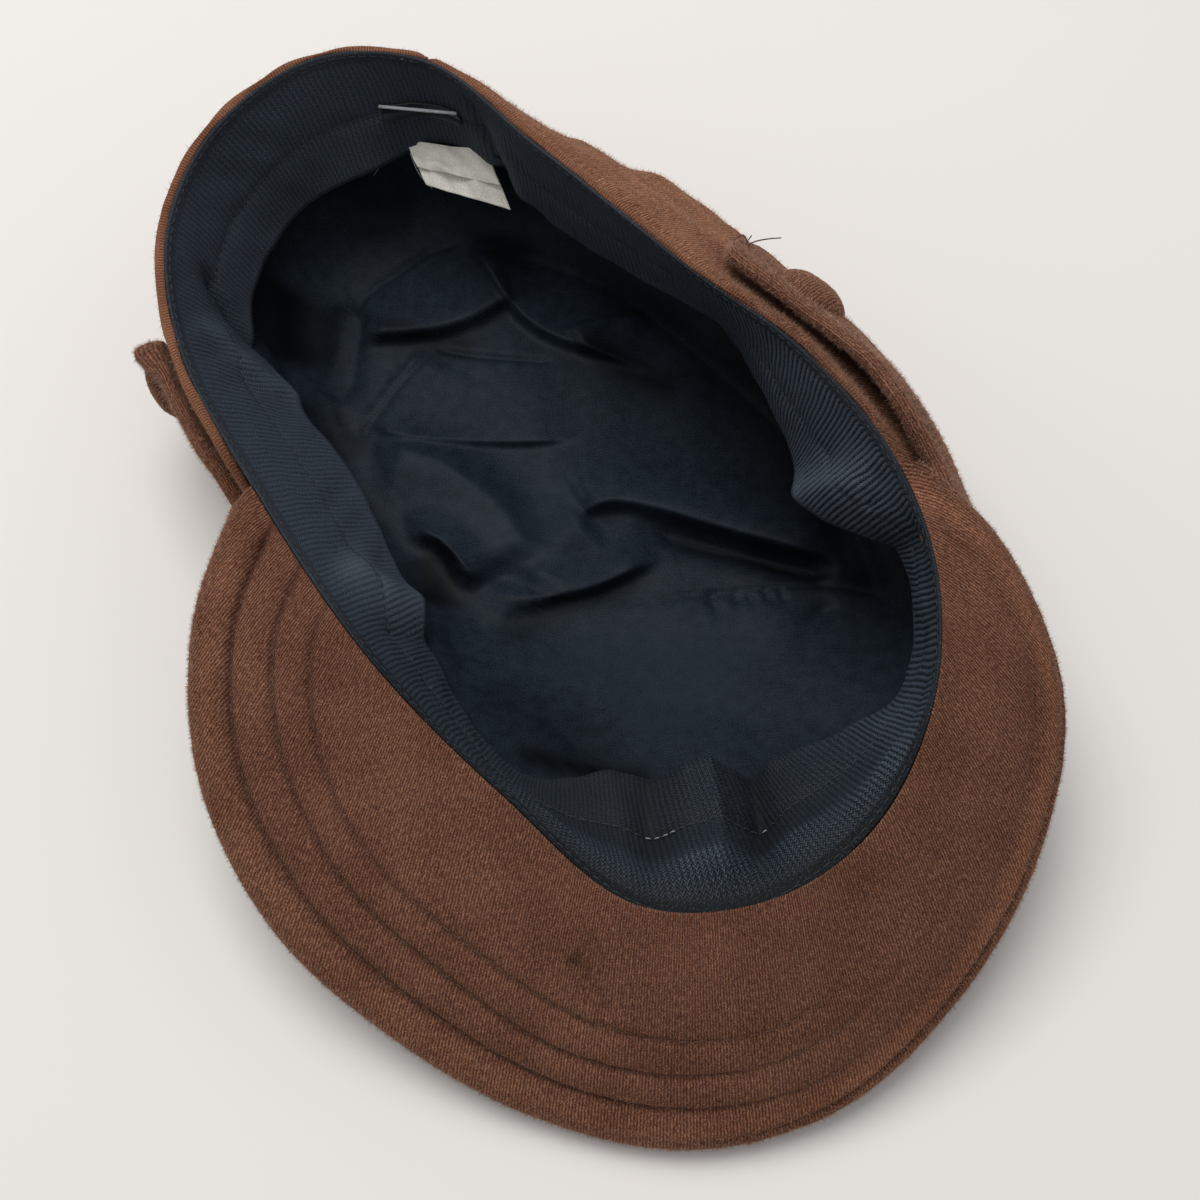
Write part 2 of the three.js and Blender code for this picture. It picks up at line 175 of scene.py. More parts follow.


# %% [markdown]
# Brushed cotton is a heavy twill whose face is raised with wire brushes. Close up it has fine ribs
# 0.7 mm apart, half hidden by a short nap, so the colour is a melange of darker and paler fibres.
# The nap scatters light at a grazing angle, so folds and edges look paler, and it has no gloss. The
# pattern lies on the cloth's own flat map, so the ribs bend with the surface. An attribute makes
# the cloth paler where it is rubbed and where light is painted. Below zero it mixes the cloth
# towards dark brown, as painted shade in seams and grooves.


# %% Brushed cotton
def brushed_cotton(name, sheen):
    """Ribs are a warped wave across the map, and nap is noise drawn out along them. Above zero the
    attribute multiplies the colour paler, for wear and painted light, so the ribs stay. Below zero
    it mixes seams and grooves towards a dark brown as painted shade."""
    material, tree, shader = new_material(
        name, Roughness=0.95, Sheen_Weight=sheen, Sheen_Roughness=0.4, Specular_IOR_Level=0.1
    )
    shader.inputs["Sheen Tint"].default_value = linear("#d39c78")
    in_mm = flat_mm(tree)
    place = node(tree, "ShaderNodeTexCoord").outputs["Object"]
    ribs = wave(tree, in_mm, 0.72, **{"Distortion": 3.0, "Detail": 4.0, "Detail Scale": 2.4})
    nap = noise(tree, flat_mm(tree, (1, 1.8)), 1.3, 6.0)
    speckle = noise(tree, in_mm, 2.8, 3.0)
    height = mix(tree, 0.84, ribs, mix(tree, 0.6, nap, speckle))
    base = ramp(tree, height, (0.34, "#452b21"), (0.5, "#6e493a"), (0.66, "#a47b62"))
    blotches = ramp(tree, noise(tree, place, 60.0, 8.0), (0.3, "#686868"), (0.7, "#989898"))
    faded = mix(tree, 0.8, base, blotches, "RGBA", "SOFT_LIGHT")
    # Wear and painted light make the cloth paler; painted shade darkens seams and grooves.
    wear_and_painted_light = node(tree, "ShaderNodeAttribute", attribute_name="wear_and_painted_light").outputs["Fac"]
    lit_and_worn = mix(tree, wear_and_painted_light, faded, (2.3, 2.2, 1.9, 1), "RGBA", "MULTIPLY")
    groove_shade = node(tree, "ShaderNodeMath", {0: wear_and_painted_light, 1: -1.0}, operation="MULTIPLY").outputs[0]
    finish_cloth(tree, shader, mix(tree, groove_shade, lit_and_worn, linear("#2e1a12"), "RGBA"), height, 0.16)
    return material


moleskin = brushed_cotton("brushed_cotton_twill", 0.3)
print("made", moleskin.name)

# %% [markdown]
# The nap itself is made too, as thousands of short hairs, because it shows against the floor as a
# soft halo. Each hair is a pale cotton fibre.

# %% Cotton fibres
fibre, fibre_tree, fibre_shader = new_material("cotton_fibre", Roughness=0.8, Sheen_Weight=0.2)
fibre_place = node(fibre_tree, "ShaderNodeTexCoord").outputs["Object"]
fibre_tone = noise(fibre_tree, fibre_place, 900.0, 2.0)
fibre_colour = ramp(fibre_tree, fibre_tone, (0.35, "#7a4f3b"), (0.65, "#b98d70"))
finish_cloth(fibre_tree, fibre_shader, fibre_colour, fibre_tone, 0.01)
print("made", fibre.name)

# %% [markdown]
# The sweatband is grosgrain, a ribbon whose thick weft cords make ribs straight across it. Each rib
# shows pale strands with a dark gap beside it, and the ribs themselves are part of the shape. The
# lining is cotton sateen, smooth and nearly black, with a soft shine and a dust of pale lint; light
# is painted on its fold crests and shade in its hollows. The labels are satin tape, which yellows,
# and black damask. The thread is spun cotton.

# %% Ribbon
RIM_LENGTH = 580.0
RIBS = 404
RIB_PITCH = RIM_LENGTH / RIBS
BORDER = 2.8  # the finely woven edge, in mm like the rest
grosgrain, ribbon_tree, ribbon_shader = new_material(
    "navy_grosgrain", Roughness=0.6, Sheen_Weight=0.06, Specular_IOR_Level=0.2
)
ribbon_shader.inputs["Sheen Tint"].default_value = linear("#8c9bb0")
ribbon_mm = flat_mm(ribbon_tree)
cords = wave(ribbon_tree, ribbon_mm, RIB_PITCH)
ribbon_place = node(ribbon_tree, "ShaderNodeSeparateXYZ", {"Vector": ribbon_mm}).outputs
in_cord = {0: ribbon_place["X"], 1: RIB_PITCH / 2}
zigzag = node(ribbon_tree, "ShaderNodeMath", in_cord, operation="PINGPONG").outputs[0]
bent = {0: ribbon_place["Y"], 1: zigzag}
strand_run = node(ribbon_tree, "ShaderNodeMath", bent, operation="ADD").outputs[0]
chevron_place = {"X": ribbon_place["X"], "Y": strand_run}
chevrons = node(ribbon_tree, "ShaderNodeCombineXYZ", chevron_place).outputs["Vector"]
warped = {"Distortion": 2.2, "Detail": 3.0, "Detail Scale": 2.0}
strands = wave(ribbon_tree, chevrons, 0.66, "Y", **warped)


def between(value, low, high):
    """A number's share of the way from low to high, from 0 to 1."""
    ends = {"Value": value, "From Min": low, "From Max": high}
    return node(ribbon_tree, "ShaderNodeMapRange", ends).outputs["Result"]


grain = between(noise(ribbon_tree, ribbon_mm, 2.4, 3.0), 0.36, 0.64)
specks = between(noise(ribbon_tree, ribbon_mm, 2.0, 2.0), 0.46, 0.74)
twist = mix(ribbon_tree, 0.45, strands, grain)
border = between(ribbon_place["Y"], BORDER + 0.6, BORDER - 0.6)
ribbon_height = mix(ribbon_tree, border, mix(ribbon_tree, 0.85, cords, twist), specks)
ribbon_colour = ramp(
    ribbon_tree, ribbon_height, (0.22, "#04070a"), (0.5, "#10181f"), (0.78, "#3e4953")
)
# Painted light and painted shade on the ribbon, from its attribute.
ribbon_lit_and_shaded = paint_light_and_shade(ribbon_tree, ribbon_colour, "#5b6470", "#020406")
finish_cloth(ribbon_tree, ribbon_shader, ribbon_lit_and_shaded, twist, 0.14)
print("made", grosgrain.name)


# %% Sateen, tape and thread
def plain_weave(name, dark, light, pitch, depth, **surface):
    """Two crossed waves of one pitch in millimetres, mixed with noise."""
    material, tree, shader = new_material(name, **surface)
    in_mm = flat_mm(tree)
    warp = wave(tree, in_mm, pitch, Distortion=1.2, Detail=2.0)
    weft = wave(tree, in_mm, pitch, "Y", Distortion=1.2, Detail=2.0)
    crossed = node(tree, "ShaderNodeMath", {0: warp, 1: weft}, operation="MULTIPLY").outputs[0]
    grain = mix(tree, 0.65, noise(tree, in_mm, 0.3, 6.0), noise(tree, in_mm, 2.2, 3.0))
    blend = mix(tree, 0.85, crossed, grain)
    lint = ramp(tree, noise(tree, in_mm, 1.9, 1.0), (0.71, "#000000"), (0.78, "#606060"))
    woven = ramp(tree, blend, (0.3, dark), (0.62, light))
    dusty = mix(tree, lint, woven, linear(light), "RGBA")
    # The attribute paints light and shade into the lining's colour; pieces without it keep theirs.
    finish_cloth(tree, shader, paint_light_and_shade(tree, dusty, light, "#010203"), crossed, depth)
    return material


sateen = plain_weave(
    "navy_cotton_sateen", "#0a0f14", "#232d36", 0.45, 0.02, Roughness=0.55, Specular_IOR_Level=0.1
)
satin_tape = plain_weave(
    "yellowed_satin_tape", "#c6c1b1", "#fbf8ee", 0.5, 0.04, Roughness=0.55, Sheen_Weight=0.1
)
black_damask = plain_weave(
    "black_damask", "#090b0d", "#16191c", 0.4, 0.03, Roughness=0.5, Sheen_Weight=0.1
)
grey_thread = plain_weave(
    "grey_spun_thread", "#7d8082", "#b9bcbc", 0.3, 0.03, Roughness=0.6, Sheen_Weight=0.1
)
brown_thread = plain_weave(
    "brown_spun_thread", "#40261c", "#64402f", 0.3, 0.03, Roughness=0.7, Sheen_Weight=0.1
)
navy_thread = plain_weave(
    "navy_spun_thread", "#0c1014", "#2a333b", 0.3, 0.03, Roughness=0.6, Sheen_Weight=0.1
)
print("made", len(bpy.data.materials), "materials")

# %% [markdown]
# ## Floor and light
#
# A pale floor, a large soft lamp behind and left of the cap, and an even pale room round it. The
# standard view shows colours as a camera's sensor does, without a film's softer contrast.

# %% Floor and light
FLOOR_HALF = 3.0
floor_mesh = bpy.data.meshes.new("floor")
floor_corners = [(x * FLOOR_HALF, y * FLOOR_HALF, 0) for x, y in ((-1, -1), (1, -1), (1, 1), (-1, 1))]
floor_mesh.from_pydata(floor_corners, [], [(0, 1, 2, 3)])
floor = bpy.data.objects.new("floor", floor_mesh)
bpy.context.collection.objects.link(floor)
floor_paint, _, floor_shader = new_material("pale_floor", Roughness=0.8)
floor_shader.inputs["Base Color"].default_value = linear("#e2ded9")
floor_mesh.materials.append(floor_paint)
floor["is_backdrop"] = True


def soft_lamp(name, place, target, size, watts):
    """A square area lamp that faces a target point."""
    data = bpy.data.lights.new(name, "AREA")
    data.size, data.energy = size, watts
    lamp = bpy.data.objects.new(name, data)
    lamp.location = place
    away = np.subtract(place, target)
    turn = math.atan2(away[0], -away[1])
    lamp.rotation_euler = (math.atan2(math.hypot(*away[:2]), away[2]), 0, turn)
    bpy.context.collection.objects.link(lamp)


LAMP_PLACE, LAMP_SIDE, LAMP_WATTS = (-0.3, 0.42, 1.35), 1.0, 15.8
ROOM_LIGHT = 0.52
soft_lamp("window", LAMP_PLACE, (0, 0, 0), LAMP_SIDE, LAMP_WATTS)
world = bpy.data.worlds.new("pale_room")
world.use_nodes = True
world.node_tree.nodes["Background"].inputs["Color"].default_value = linear("#f4f4f6")
world.node_tree.nodes["Background"].inputs["Strength"].default_value = ROOM_LIGHT
bpy.context.scene.world = world
bpy.context.scene.view_settings.view_transform = "Standard"
print("floor, window and room are in place")

# %% [markdown]
# ## The cap's own lines
#
# A soft cap has no straight edge to measure from, so its shape is given by four closed lines: the
# rim, the wall half-way down, the turned seam that it lies on, and the sweatband's free edge. Each
# passes through one point for each of 17 sections, the same ones as in the CAD model. The turn is
# the share of the rim's length from the rear centre seam, clockwise seen from above.

# %% Sections
MIDDLE = (0.2, 0.0, 0.0)  # the sections' origin is this far from the part's
WALL_HIGH = 80.0
BAND_WIDE = 33.0
CLOTH = 2.0
CLEAR = 0.4
BASE_ROLL = 4.0  # radius of the turned seam
ROLL_START = 0.9  # share down the wall where it turns under

# rim, middle of the wall, turned seam, sweatband's free edge
SECTIONS = [
    [(-38, 116, 70), (-31, 126, 34), (-30, 119, 4), (-35, 117, 38)],  # rear
    [(-6, 87, 72), (14, 110, 31), (9, 105, 4), (-2, 86, 39)],
    [(24, 56, 72), (46, 80, 31), (42, 76, 4), (34, 58, 41)],
    [(48, 34, 71), (71, 51, 32), (66, 48, 4), (47, 28, 43)],  # right
    [(66, 11, 68), (86, 17, 31), (81, 18, 4), (53, 8, 44)],
    [(75, -14, 63), (90, -12, 28), (84, -4, 4), (73, -6, 42)],
    [(74, -42, 56), (82, -34, 22), (70, -12, 4), (71, -34, 36)],
    [(61, -68, 50), (60, -46, 16), (50, -10, 4), (46, -47, 33)],
    [(40, -82, 45), (38, -48, 13), (32, -8, 4), (30, -50, 32)],  # front
    [(12, -83, 43), (12, -46, 13), (12, -9, 4), (8, -51, 31)],
    [(-16, -60, 43), (-14, -34, 15), (-8, -9, 4), (-14, -50, 29)],
    [(-46, -30, 47), (-44, -18, 19), (-30, -3, 4), (-36, -18, 26)],
    [(-74, 10, 51), (-69, 14, 22), (-54, 20, 4), (-54, 24, 24)],
    [(-94, 46, 54), (-87, 46, 24), (-70, 46, 4), (-76, 54, 24)],  # left
    [(-99, 78, 57), (-93, 80, 26), (-77, 76, 4), (-85, 76, 25)],
    [(-89, 104, 61), (-84, 108, 30), (-70, 101, 4), (-76, 100, 29)],
    [(-66, 120, 66), (-59, 126, 33), (-51, 117, 4), (-58, 110, 34)],
]


def unit(vectors):
    """Each vector divided by its length."""
    return vectors / np.maximum(np.linalg.norm(vectors, axis=-1, keepdims=True), 1e-9)


def smooth_curve(points, closed=True):
    """Centripetal Catmull-Rom: a cubic between each two points, whose slope at a point comes from
    its neighbours, weighted by the square roots of their distances."""
    p = np.asarray(points, float)
    spans = len(p) if closed else len(p) - 1
    before, after = (p[-1:], p[:2]) if closed else (2 * p[:1] - p[1:2], 2 * p[-1:] - p[-2:-1])
    p = np.concatenate([before, p, after])

    def at(t):
        s = (np.asarray(t, float) % 1 if closed else np.clip(t, 0, 1)) * spans
        i = np.minimum(s.astype(int), spans - 1)
        w = (s - i)[..., None]
        a, b, c, d = p[i], p[i + 1], p[i + 2], p[i + 3]
        ga, gb, gc = (
            np.sqrt(np.linalg.norm(y - x, axis=-1, keepdims=True))
            for x, y in ((a, b), (b, c), (c, d))
        )
        start = ((b - a) / ga - (c - a) / (ga + gb) + (c - b) / gb) * gb
        end = ((c - b) / gb - (d - b) / (gb + gc) + (d - c) / gc) * gb
        cubic = 2 * (b - c) + start + end
        return b + start * w + (3 * (c - b) - 2 * start - end) * w**2 + cubic * w**3

    return at


rim_rows, middle_rows, seam_rows, band_rows = (
    smooth_curve(np.array([s[k] for s in SECTIONS]) - MIDDLE) for k in range(4)
)
row_shares = np.linspace(0, 1, 200 * len(SECTIONS) + 1)
rim_steps = np.linalg.norm(np.diff(rim_rows(row_shares), axis=0), axis=1)
rim_shares = np.concatenate([[0], np.cumsum(rim_steps)]) / rim_steps.sum()
print("rim is", round(rim_steps.sum()), "mm round")


# %% Lines by their turn
def row_of(turn):
    return np.interp(np.asarray(turn, float) % 1, rim_shares, row_shares)


SQUEEZES = [  # turn, width as a turn, power, how far in
    (0.06, 0.045, 2, (1.4, 1.9, 0)),
    (0.135, 0.05, 4, (0.9, 0.95, 0)),
]


def rim(turn):
    """The smooth line, squeezed in by 2.4 mm at the rear right and by 1.3 mm on the right."""
    from_rear = (np.asarray(turn, float) + 0.5) % 1 - 0.5
    line = rim_rows(row_of(turn))
    for place, wide, power, inwards in SQUEEZES:
        line = line - np.exp(-(((from_rear - place) / wide) ** power))[..., None] * inwards
    return line


def middle(turn):
    return middle_rows(row_of(turn))


def seam(turn):
    return seam_rows(row_of(turn))


def band_edge(turn):
    return band_rows(row_of(turn))


def level_out(line, turn):
    """The level direction away from the opening: the line's own direction, turned a quarter."""
    along = line(np.asarray(turn) + 0.004) - line(np.asarray(turn) - 0.004)
    return unit(np.stack([-along[..., 1], along[..., 0], 0 * along[..., 0]], -1))


print("rim at the front:", rim(0.47).round(1))

# %% [markdown]
# Cloth dents, folds and creases. Each is a bell curve across a curved crest. A fold that hangs over
# is steep on one side, so a crest has one width for its left side and one for its right. Waves too
# small to name come from a sum of sines in random directions.


# %% Folds and ripples
def smooth(x):
    """Rises from 0 to 1 with level ends: x squared times three less twice x."""
    x = np.clip(x, 0, 1)
    return x * x * (3 - 2 * x)


def folds(rows, x, y):
    """Sum over the rows of height times a bell curve of the distance to a curved crest, as wide as
    the row's first width on the left of its direction and its second on the right. It fades out
    over the last fifth at each end."""
    total = np.zeros(np.broadcast(x, y).shape)
    for high, left, right, crest in rows:
        path = smooth_curve(crest, closed=False)(np.linspace(0, 1, 25))
        step = np.diff(path, axis=0)
        px, py = x[..., None] - path[:-1, 0], y[..., None] - path[:-1, 1]
        share = np.clip((px * step[:, 0] + py * step[:, 1]) / (step**2).sum(1), 0, 1)
        away = np.hypot(px - share * step[:, 0], py - share * step[:, 1])
        near = away.argmin(-1)[..., None]
        side = np.take_along_axis(step[:, 0] * py - step[:, 1] * px, near, -1)[..., 0]
        run = (near + np.take_along_axis(share, near, -1))[..., 0] / len(step)
        wide = np.where(side > 0, left, right)
        bell = np.exp(-((np.take_along_axis(away, near, -1)[..., 0] / wide) ** 1.7))
        total += high * bell * smooth(np.minimum(run, 1 - run) * 5)
    return total


def ripple(x, y, wavelength, seed):
    """Soft uneven waves, between about -1 and 1."""
    random = np.random.default_rng(seed)
    total = np.zeros(np.broadcast(x, y).shape)
    for angle, phase, size in zip(
        random.uniform(0, np.pi, 7), random.uniform(0, 7, 7), random.uniform(0.6, 1.7, 7)
    ):
        across = x * np.cos(angle) + y * np.sin(angle)
        total += np.sin(across * 2 * np.pi / (wavelength * size) + phase)
    return total / 3.5


def on_cloth(rows, wide, high):
    """Rows whose crests are given in turns and shares down, changed to millimetres."""
    return [(h, a, b, [(turn * wide, down * high) for turn, down in crest]) for h, a, b, crest in rows]


print("one fold's heights:", folds([(3, 5, 2, [(0, 0), (9, 0)])], np.array([4.0]), np.arange(-2, 3)))

# %% [markdown]
# The wall runs from under the rim out to its middle and in again to the seam. At the rear right it
# bulges out, and hangs in soft folds. Under the peak its upper end is sewn on lower down.

# %% Wall
# height, width on the left and the right of the crest, crest in (turn, share down)
WALL_FOLDS = [
    (-3, 8, 8, [(0.02, 0.3), (0.06, 0.5)]),
    (-2.5, 9, 9, [(0.06, 0.62), (0.15, 0.7)]),
    (-4, 10, 10, [(0.24, 0.7), (0.31, 0.5)]),
    (-3, 10, 10, [(0.44, 0.5), (0.53, 0.62)]),
    (-4, 9, 9, [(0.61, 0.35), (0.66, 0.75)]),
    (-3, 9, 9, [(0.76, 0.7), (0.84, 0.55)]),
    (-3, 9, 9, [(0.93, 0.4), (0.96, 0.75)]),
    (-6.5, 12, 12, [(0, 0.3), (0.03, 0.36), (0.052, 0.36), (0.065, 0.34)]),
    (4.0, 12, 12, [(0.076, 0.34), (0.1, 0.37), (0.125, 0.38), (0.15, 0.36)]),
    (-2.8, 5, 4, [(0.14, 0.1), (0.18, 0.09), (0.22, 0.09), (0.26, 0.1)]),
    (0.9, 1.6, 3, [(0.08, 0.27), (0.095, 0.28), (0.113, 0.27), (0.131, 0.23), (0.15, 0.17)]),
    (0.5, 1.5, 2.5, [(0.05, 0.05), (0.07, 0.08), (0.1, 0.13), (0.12, 0.16)]),
    (0.9, 4, 1.5, [(0.03, 0.14), (0.06, 0.2), (0.09, 0.16), (0.12, 0.26)]),
    (0.9, 1.6, 4, [(0.07, 0.3), (0.09, 0.26), (0.12, 0.3), (0.145, 0.5)]),
    (1.4, 5, 3, [(0.06, 0.46), (0.1, 0.44), (0.13, 0.52)]),
    (-1.0, 2, 4, [(0.07, 0.24), (0.1, 0.25), (0.13, 0.33)]),
    (1.2, 4, 2.5, [(0.1, 0.1), (0.14, 0.15), (0.17, 0.3)]),
    (1.2, 5, 3, [(0.12, 0.75), (0.2, 0.84)]),
    (1.4, 5, 3, [(0.22, 0.45), (0.26, 0.6), (0.3, 0.8)]),
    (1.2, 3, 5, [(0.37, 0.4), (0.42, 0.7)]),
    (1.2, 4, 3, [(0.5, 0.35), (0.56, 0.5)]),
    (1.4, 5, 3, [(0.58, 0.7), (0.68, 0.82)]),
    (1.2, 3, 5, [(0.7, 0.35), (0.74, 0.75)]),
    (1.4, 3, 5, [(0.86, 0.35), (0.88, 0.5), (0.9, 0.7)]),
    (1.0, 4, 4, [(0.97, 0.55), (0.99, 0.7)]),
]
PEAK_FROM, PEAK_TO, SINK_RAMP = 0.262, 0.726, 0.025
PEAK_SINK = 5.5


def sink(turn):
    """How far the wall's upper end lies below the rim: only where the peak is sewn on."""
    start = smooth((turn - PEAK_FROM + SINK_RAMP) / SINK_RAMP)
    return PEAK_SINK * start * smooth((PEAK_TO + SINK_RAMP - turn) / SINK_RAMP)


def wall(turn, down, folded=True):
    """Outer face of the wall. A parabola passes through the rim, the middle and the seam, and folds
    move it level outwards. A quarter circle turns under at the seam."""
    turn, down = np.broadcast_arrays(np.asarray(turn, float), np.asarray(down, float))
    t = np.minimum(down / ROLL_START, 1)[..., None]
    top = rim(turn) + level_out(rim, turn) * (CLOTH + CLEAR)
    top[..., 2] += CLEAR - sink(turn % 1)
    base = seam(turn)
    fade = 4 * t * (1 - t)
    side = top * (1 - t) * (1 - 2 * t) + middle(turn) * fade + base * t * (2 * t - 1)
    if folded:
        x, y = turn % 1 * RIM_LENGTH, down * WALL_HIGH
        fold = folds(on_cloth(WALL_FOLDS, RIM_LENGTH, WALL_HIGH), x, y)
        side = side + level_out(rim, turn) * np.minimum(1, 2 * fade) * fold[..., None]
    angle = np.clip((down - ROLL_START) / (1 - ROLL_START), 0, 1)[..., None] * np.pi / 2
    under = base - level_out(seam, turn) * BASE_ROLL
    under[..., 2] = CLEAR
    turned = under + (base - under) * [1, 1, 0] * np.cos(angle)
    turned = turned + (base - under) * [0, 0, 1] * (1 - np.sin(angle))
    return np.where(down[..., None] > ROLL_START, turned, side)


print("wall at the rear centre, half-way down:", wall(0.0, 0.45).round(1))

# %% [markdown]
# ## From a grid to a piece
#
# A grid of points becomes a mesh of four-sided faces. Its flat map, named cloth, gives each point's
# place on the uncut fabric in metres. A Solidify modifier gives the sheet its thickness on the side
# away from the visible face. Stitches, threads and hairs are small tubes along short paths, and all
# tubes of one kind are joined in one mesh.


# %% Grids
def grid_quads(rows, columns, wrap=False):
    """Corner numbers of a grid's faces, row by row. With wrap the last column meets the first."""
    r = np.arange(rows - 1)[:, None]
    c = np.arange(columns if wrap else columns - 1)[None, :]
    a, b = r * columns + c, r * columns + (c + 1) % columns
    return np.stack([a, b, b + columns, a + columns], -1).reshape(-1, 4)


def loop_quads(rows, columns):
    """The same for a grid whose last row meets its first."""
    first = np.arange(columns - 1)
    last = first + (rows - 1) * columns
    closing = np.stack([last, last + 1, first + 1, first], 1)
    return np.concatenate([grid_quads(rows, columns), closing])


def grid_normals(points, wrap=False):
    """Cross product of a grid's two directions, which are differences between neighbours."""
    if wrap:
        across = np.roll(points, -1, 1) - np.roll(points, 1, 1)
    else:
        across = np.gradient(points, axis=1)
    return unit(np.cross(across, np.gradient(points, axis=0)))


def new_piece(name, points, faces, material, flat, flat_faces=None, wear_and_painted_light=None):
    """A mesh object from points in mm, faces, and a flat map, which may have its own numbering."""
    mesh = bpy.data.meshes.new(name)
    points = np.asarray(points, float).reshape(-1, 3)
    mesh.from_pydata((points * MM).tolist(), [], [list(map(int, f)) for f in faces])
    corners = np.concatenate([np.ravel(f) for f in (faces if flat_faces is None else flat_faces)])
    layer = mesh.uv_layers.new(name="cloth")
    layer.data.foreach_set("uv", (flat.reshape(-1, 2)[corners] * MM).astype(np.float32).ravel())
    if wear_and_painted_light is not None:
        attribute = mesh.attributes.new("wear_and_painted_light", "FLOAT", "POINT")
        attribute.data.foreach_set("value", np.ravel(wear_and_painted_light).astype(np.float32))
    mesh.shade_smooth()
    mesh.materials.append(material)
    made = bpy.data.objects.new(name, mesh)
    bpy.context.collection.objects.link(made)
    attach(made, "root")
    print(f"{name}: {len(points)} points, {len(faces)} faces")
    return made


def sheet_piece(
    name, points, flat, material, thick, wrap=False, facing=1, wear_and_painted_light=None, cap=False
):
    """A grid as a sheet of cloth. flat has one column more than points where the grid wraps, and
    facing is -1 where the visible side is the one away from the grid's own normals. With cap the
    last row is closed by one face."""
    rows, columns = points.shape[:2]
    faces = list(grid_quads(rows, columns, wrap))
    flat_faces = list(grid_quads(rows, columns + 1)) if wrap else list(faces)
    if cap:
        faces.append(np.arange(columns) + (rows - 1) * columns)
        flat_faces.append(np.arange(columns) + (rows - 1) * (columns + 1))
    if facing < 0:
        faces, flat_faces = [f[::-1] for f in faces], [f[::-1] for f in flat_faces]
    made = new_piece(name, points, faces, material, flat, flat_faces, wear_and_painted_light)
    solidify = made.modifiers.new("thickness", "SOLIDIFY")
    solidify.thickness, solidify.offset = thick * MM, -1
    return made


# %% Tubes and hairs
HAIR_R = 0.055


def tubes(name, paths, radii, material, sides=4):
    """paths has the points of each tube, and radii its radius at each. A circle is carried along
    the path, square to it, and the ends are closed."""
    count, rings = paths.shape[:2]
    along = unit(np.gradient(paths, axis=1))
    aside = unit(np.cross(along, [0.31, 0.87, 0.38]))
    across = np.cross(along, aside)
    angle = np.linspace(0, 2 * np.pi, sides, endpoint=False)[:, None]
    ring = np.cos(angle) * aside[:, :, None] + np.sin(angle) * across[:, :, None]
    points = paths[:, :, None] + ring * np.broadcast_to(radii, (count, rings))[..., None, None]
    first = np.arange(count)[:, None, None] * rings * sides
    quads = (first + grid_quads(rings, sides, True)[:, ::-1]).reshape(-1, 4)
    starts = (first[..., 0] + np.arange(sides)).reshape(-1, sides)
    ends = (first[..., 0] + (rings - 1) * sides + np.arange(sides)[::-1]).reshape(-1, sides)
    run = np.cumsum(np.linalg.norm(np.diff(paths, axis=1, prepend=paths[:, :1]), axis=2), axis=1)
    flat = np.stack(np.broadcast_arrays(np.arange(sides) * 0.3, run[..., None]), -1)
    return new_piece(name, points, [*quads, *starts, *ends], material, flat)


def stitches(line, normals, pitch, length, rise):
    """Paths of stitches along a line on the cloth: each is an arch between two needle holes."""
    run = np.concatenate([[0], np.cumsum(np.linalg.norm(np.diff(line, axis=0), axis=1))])
    share = np.linspace(0, 1, 4)
    at = np.arange(pitch / 2, run[-1] - pitch, pitch)[:, None] + length * share
    place = np.stack([np.interp(at, run, line[:, k]) for k in range(3)], -1)
    up = unit(np.stack([np.interp(at, run, normals[:, k]) for k in range(3)], -1))
    return place + up * (rise * np.sin(np.pi * share) - 0.1)[:, None]


def hairs(name, points, normals, count, length, seed, weight=1.0):
    """Nap: thin spikes at random places of a grid, as dense as the weight says. Each leans over
    from the grid's normal in a random direction. A spike is a three-sided pyramid."""
    random = np.random.default_rng(seed)
    sides = points[:-1, 1:] - points[:-1, :-1], points[1:, :-1] - points[:-1, :-1]
    area = np.linalg.norm(np.cross(*sides), axis=-1) * (weight + 0 * points[:-1, :-1, 0])
    cell = random.choice(area.size, count, p=area.ravel() / area.sum())
    r, c = np.divmod(cell, points.shape[1] - 1)
    u, v = random.random((2, count, 1))
    place = points[r, c] + sides[0].reshape(-1, 3)[cell] * u + sides[1].reshape(-1, 3)[cell] * v
    lean = unit(normals[r, c] + random.normal(0, 0.55, (count, 3)))
    tip = place + lean * (length * random.uniform(0.35, 1.3, (count, 1)))
    aside = unit(np.cross(lean, [0.31, 0.87, 0.38]))
    angle = np.arange(3)[:, None] * 2 * np.pi / 3
    foot = np.cos(angle) * aside[:, None] + np.sin(angle) * np.cross(lean, aside)[:, None]
    spikes = np.concatenate([(place - lean * 0.15)[:, None] + foot * HAIR_R, tip[:, None]], 1)
    spikes[..., 2] = np.maximum(spikes[..., 2], 0.05)
    corners = np.array([(0, 2, 1), (0, 1, 3), (1, 2, 3), (2, 0, 3)])
    faces = (np.arange(count)[:, None, None] * 4 + corners).reshape(-1, 3)
    return new_piece(name, spikes, faces, fibre, spikes[..., :2])


print("helpers are ready")

# %% [markdown]
# ## The peak
#
# The peak is a board between two layers of cloth, quilted by rows of stitches that follow its edge.
# Each section runs from the rim out to the edge: over the board on the top, round the edge and back
# below. The rows of stitches sink into the cloth, and it puffs up between them. Distances from the
# edge are measured on the flat cut, as a maker marks them. It is the bent strip unrolled into a
# plane, where each small step turns by what its corner angles leave of a half turn.

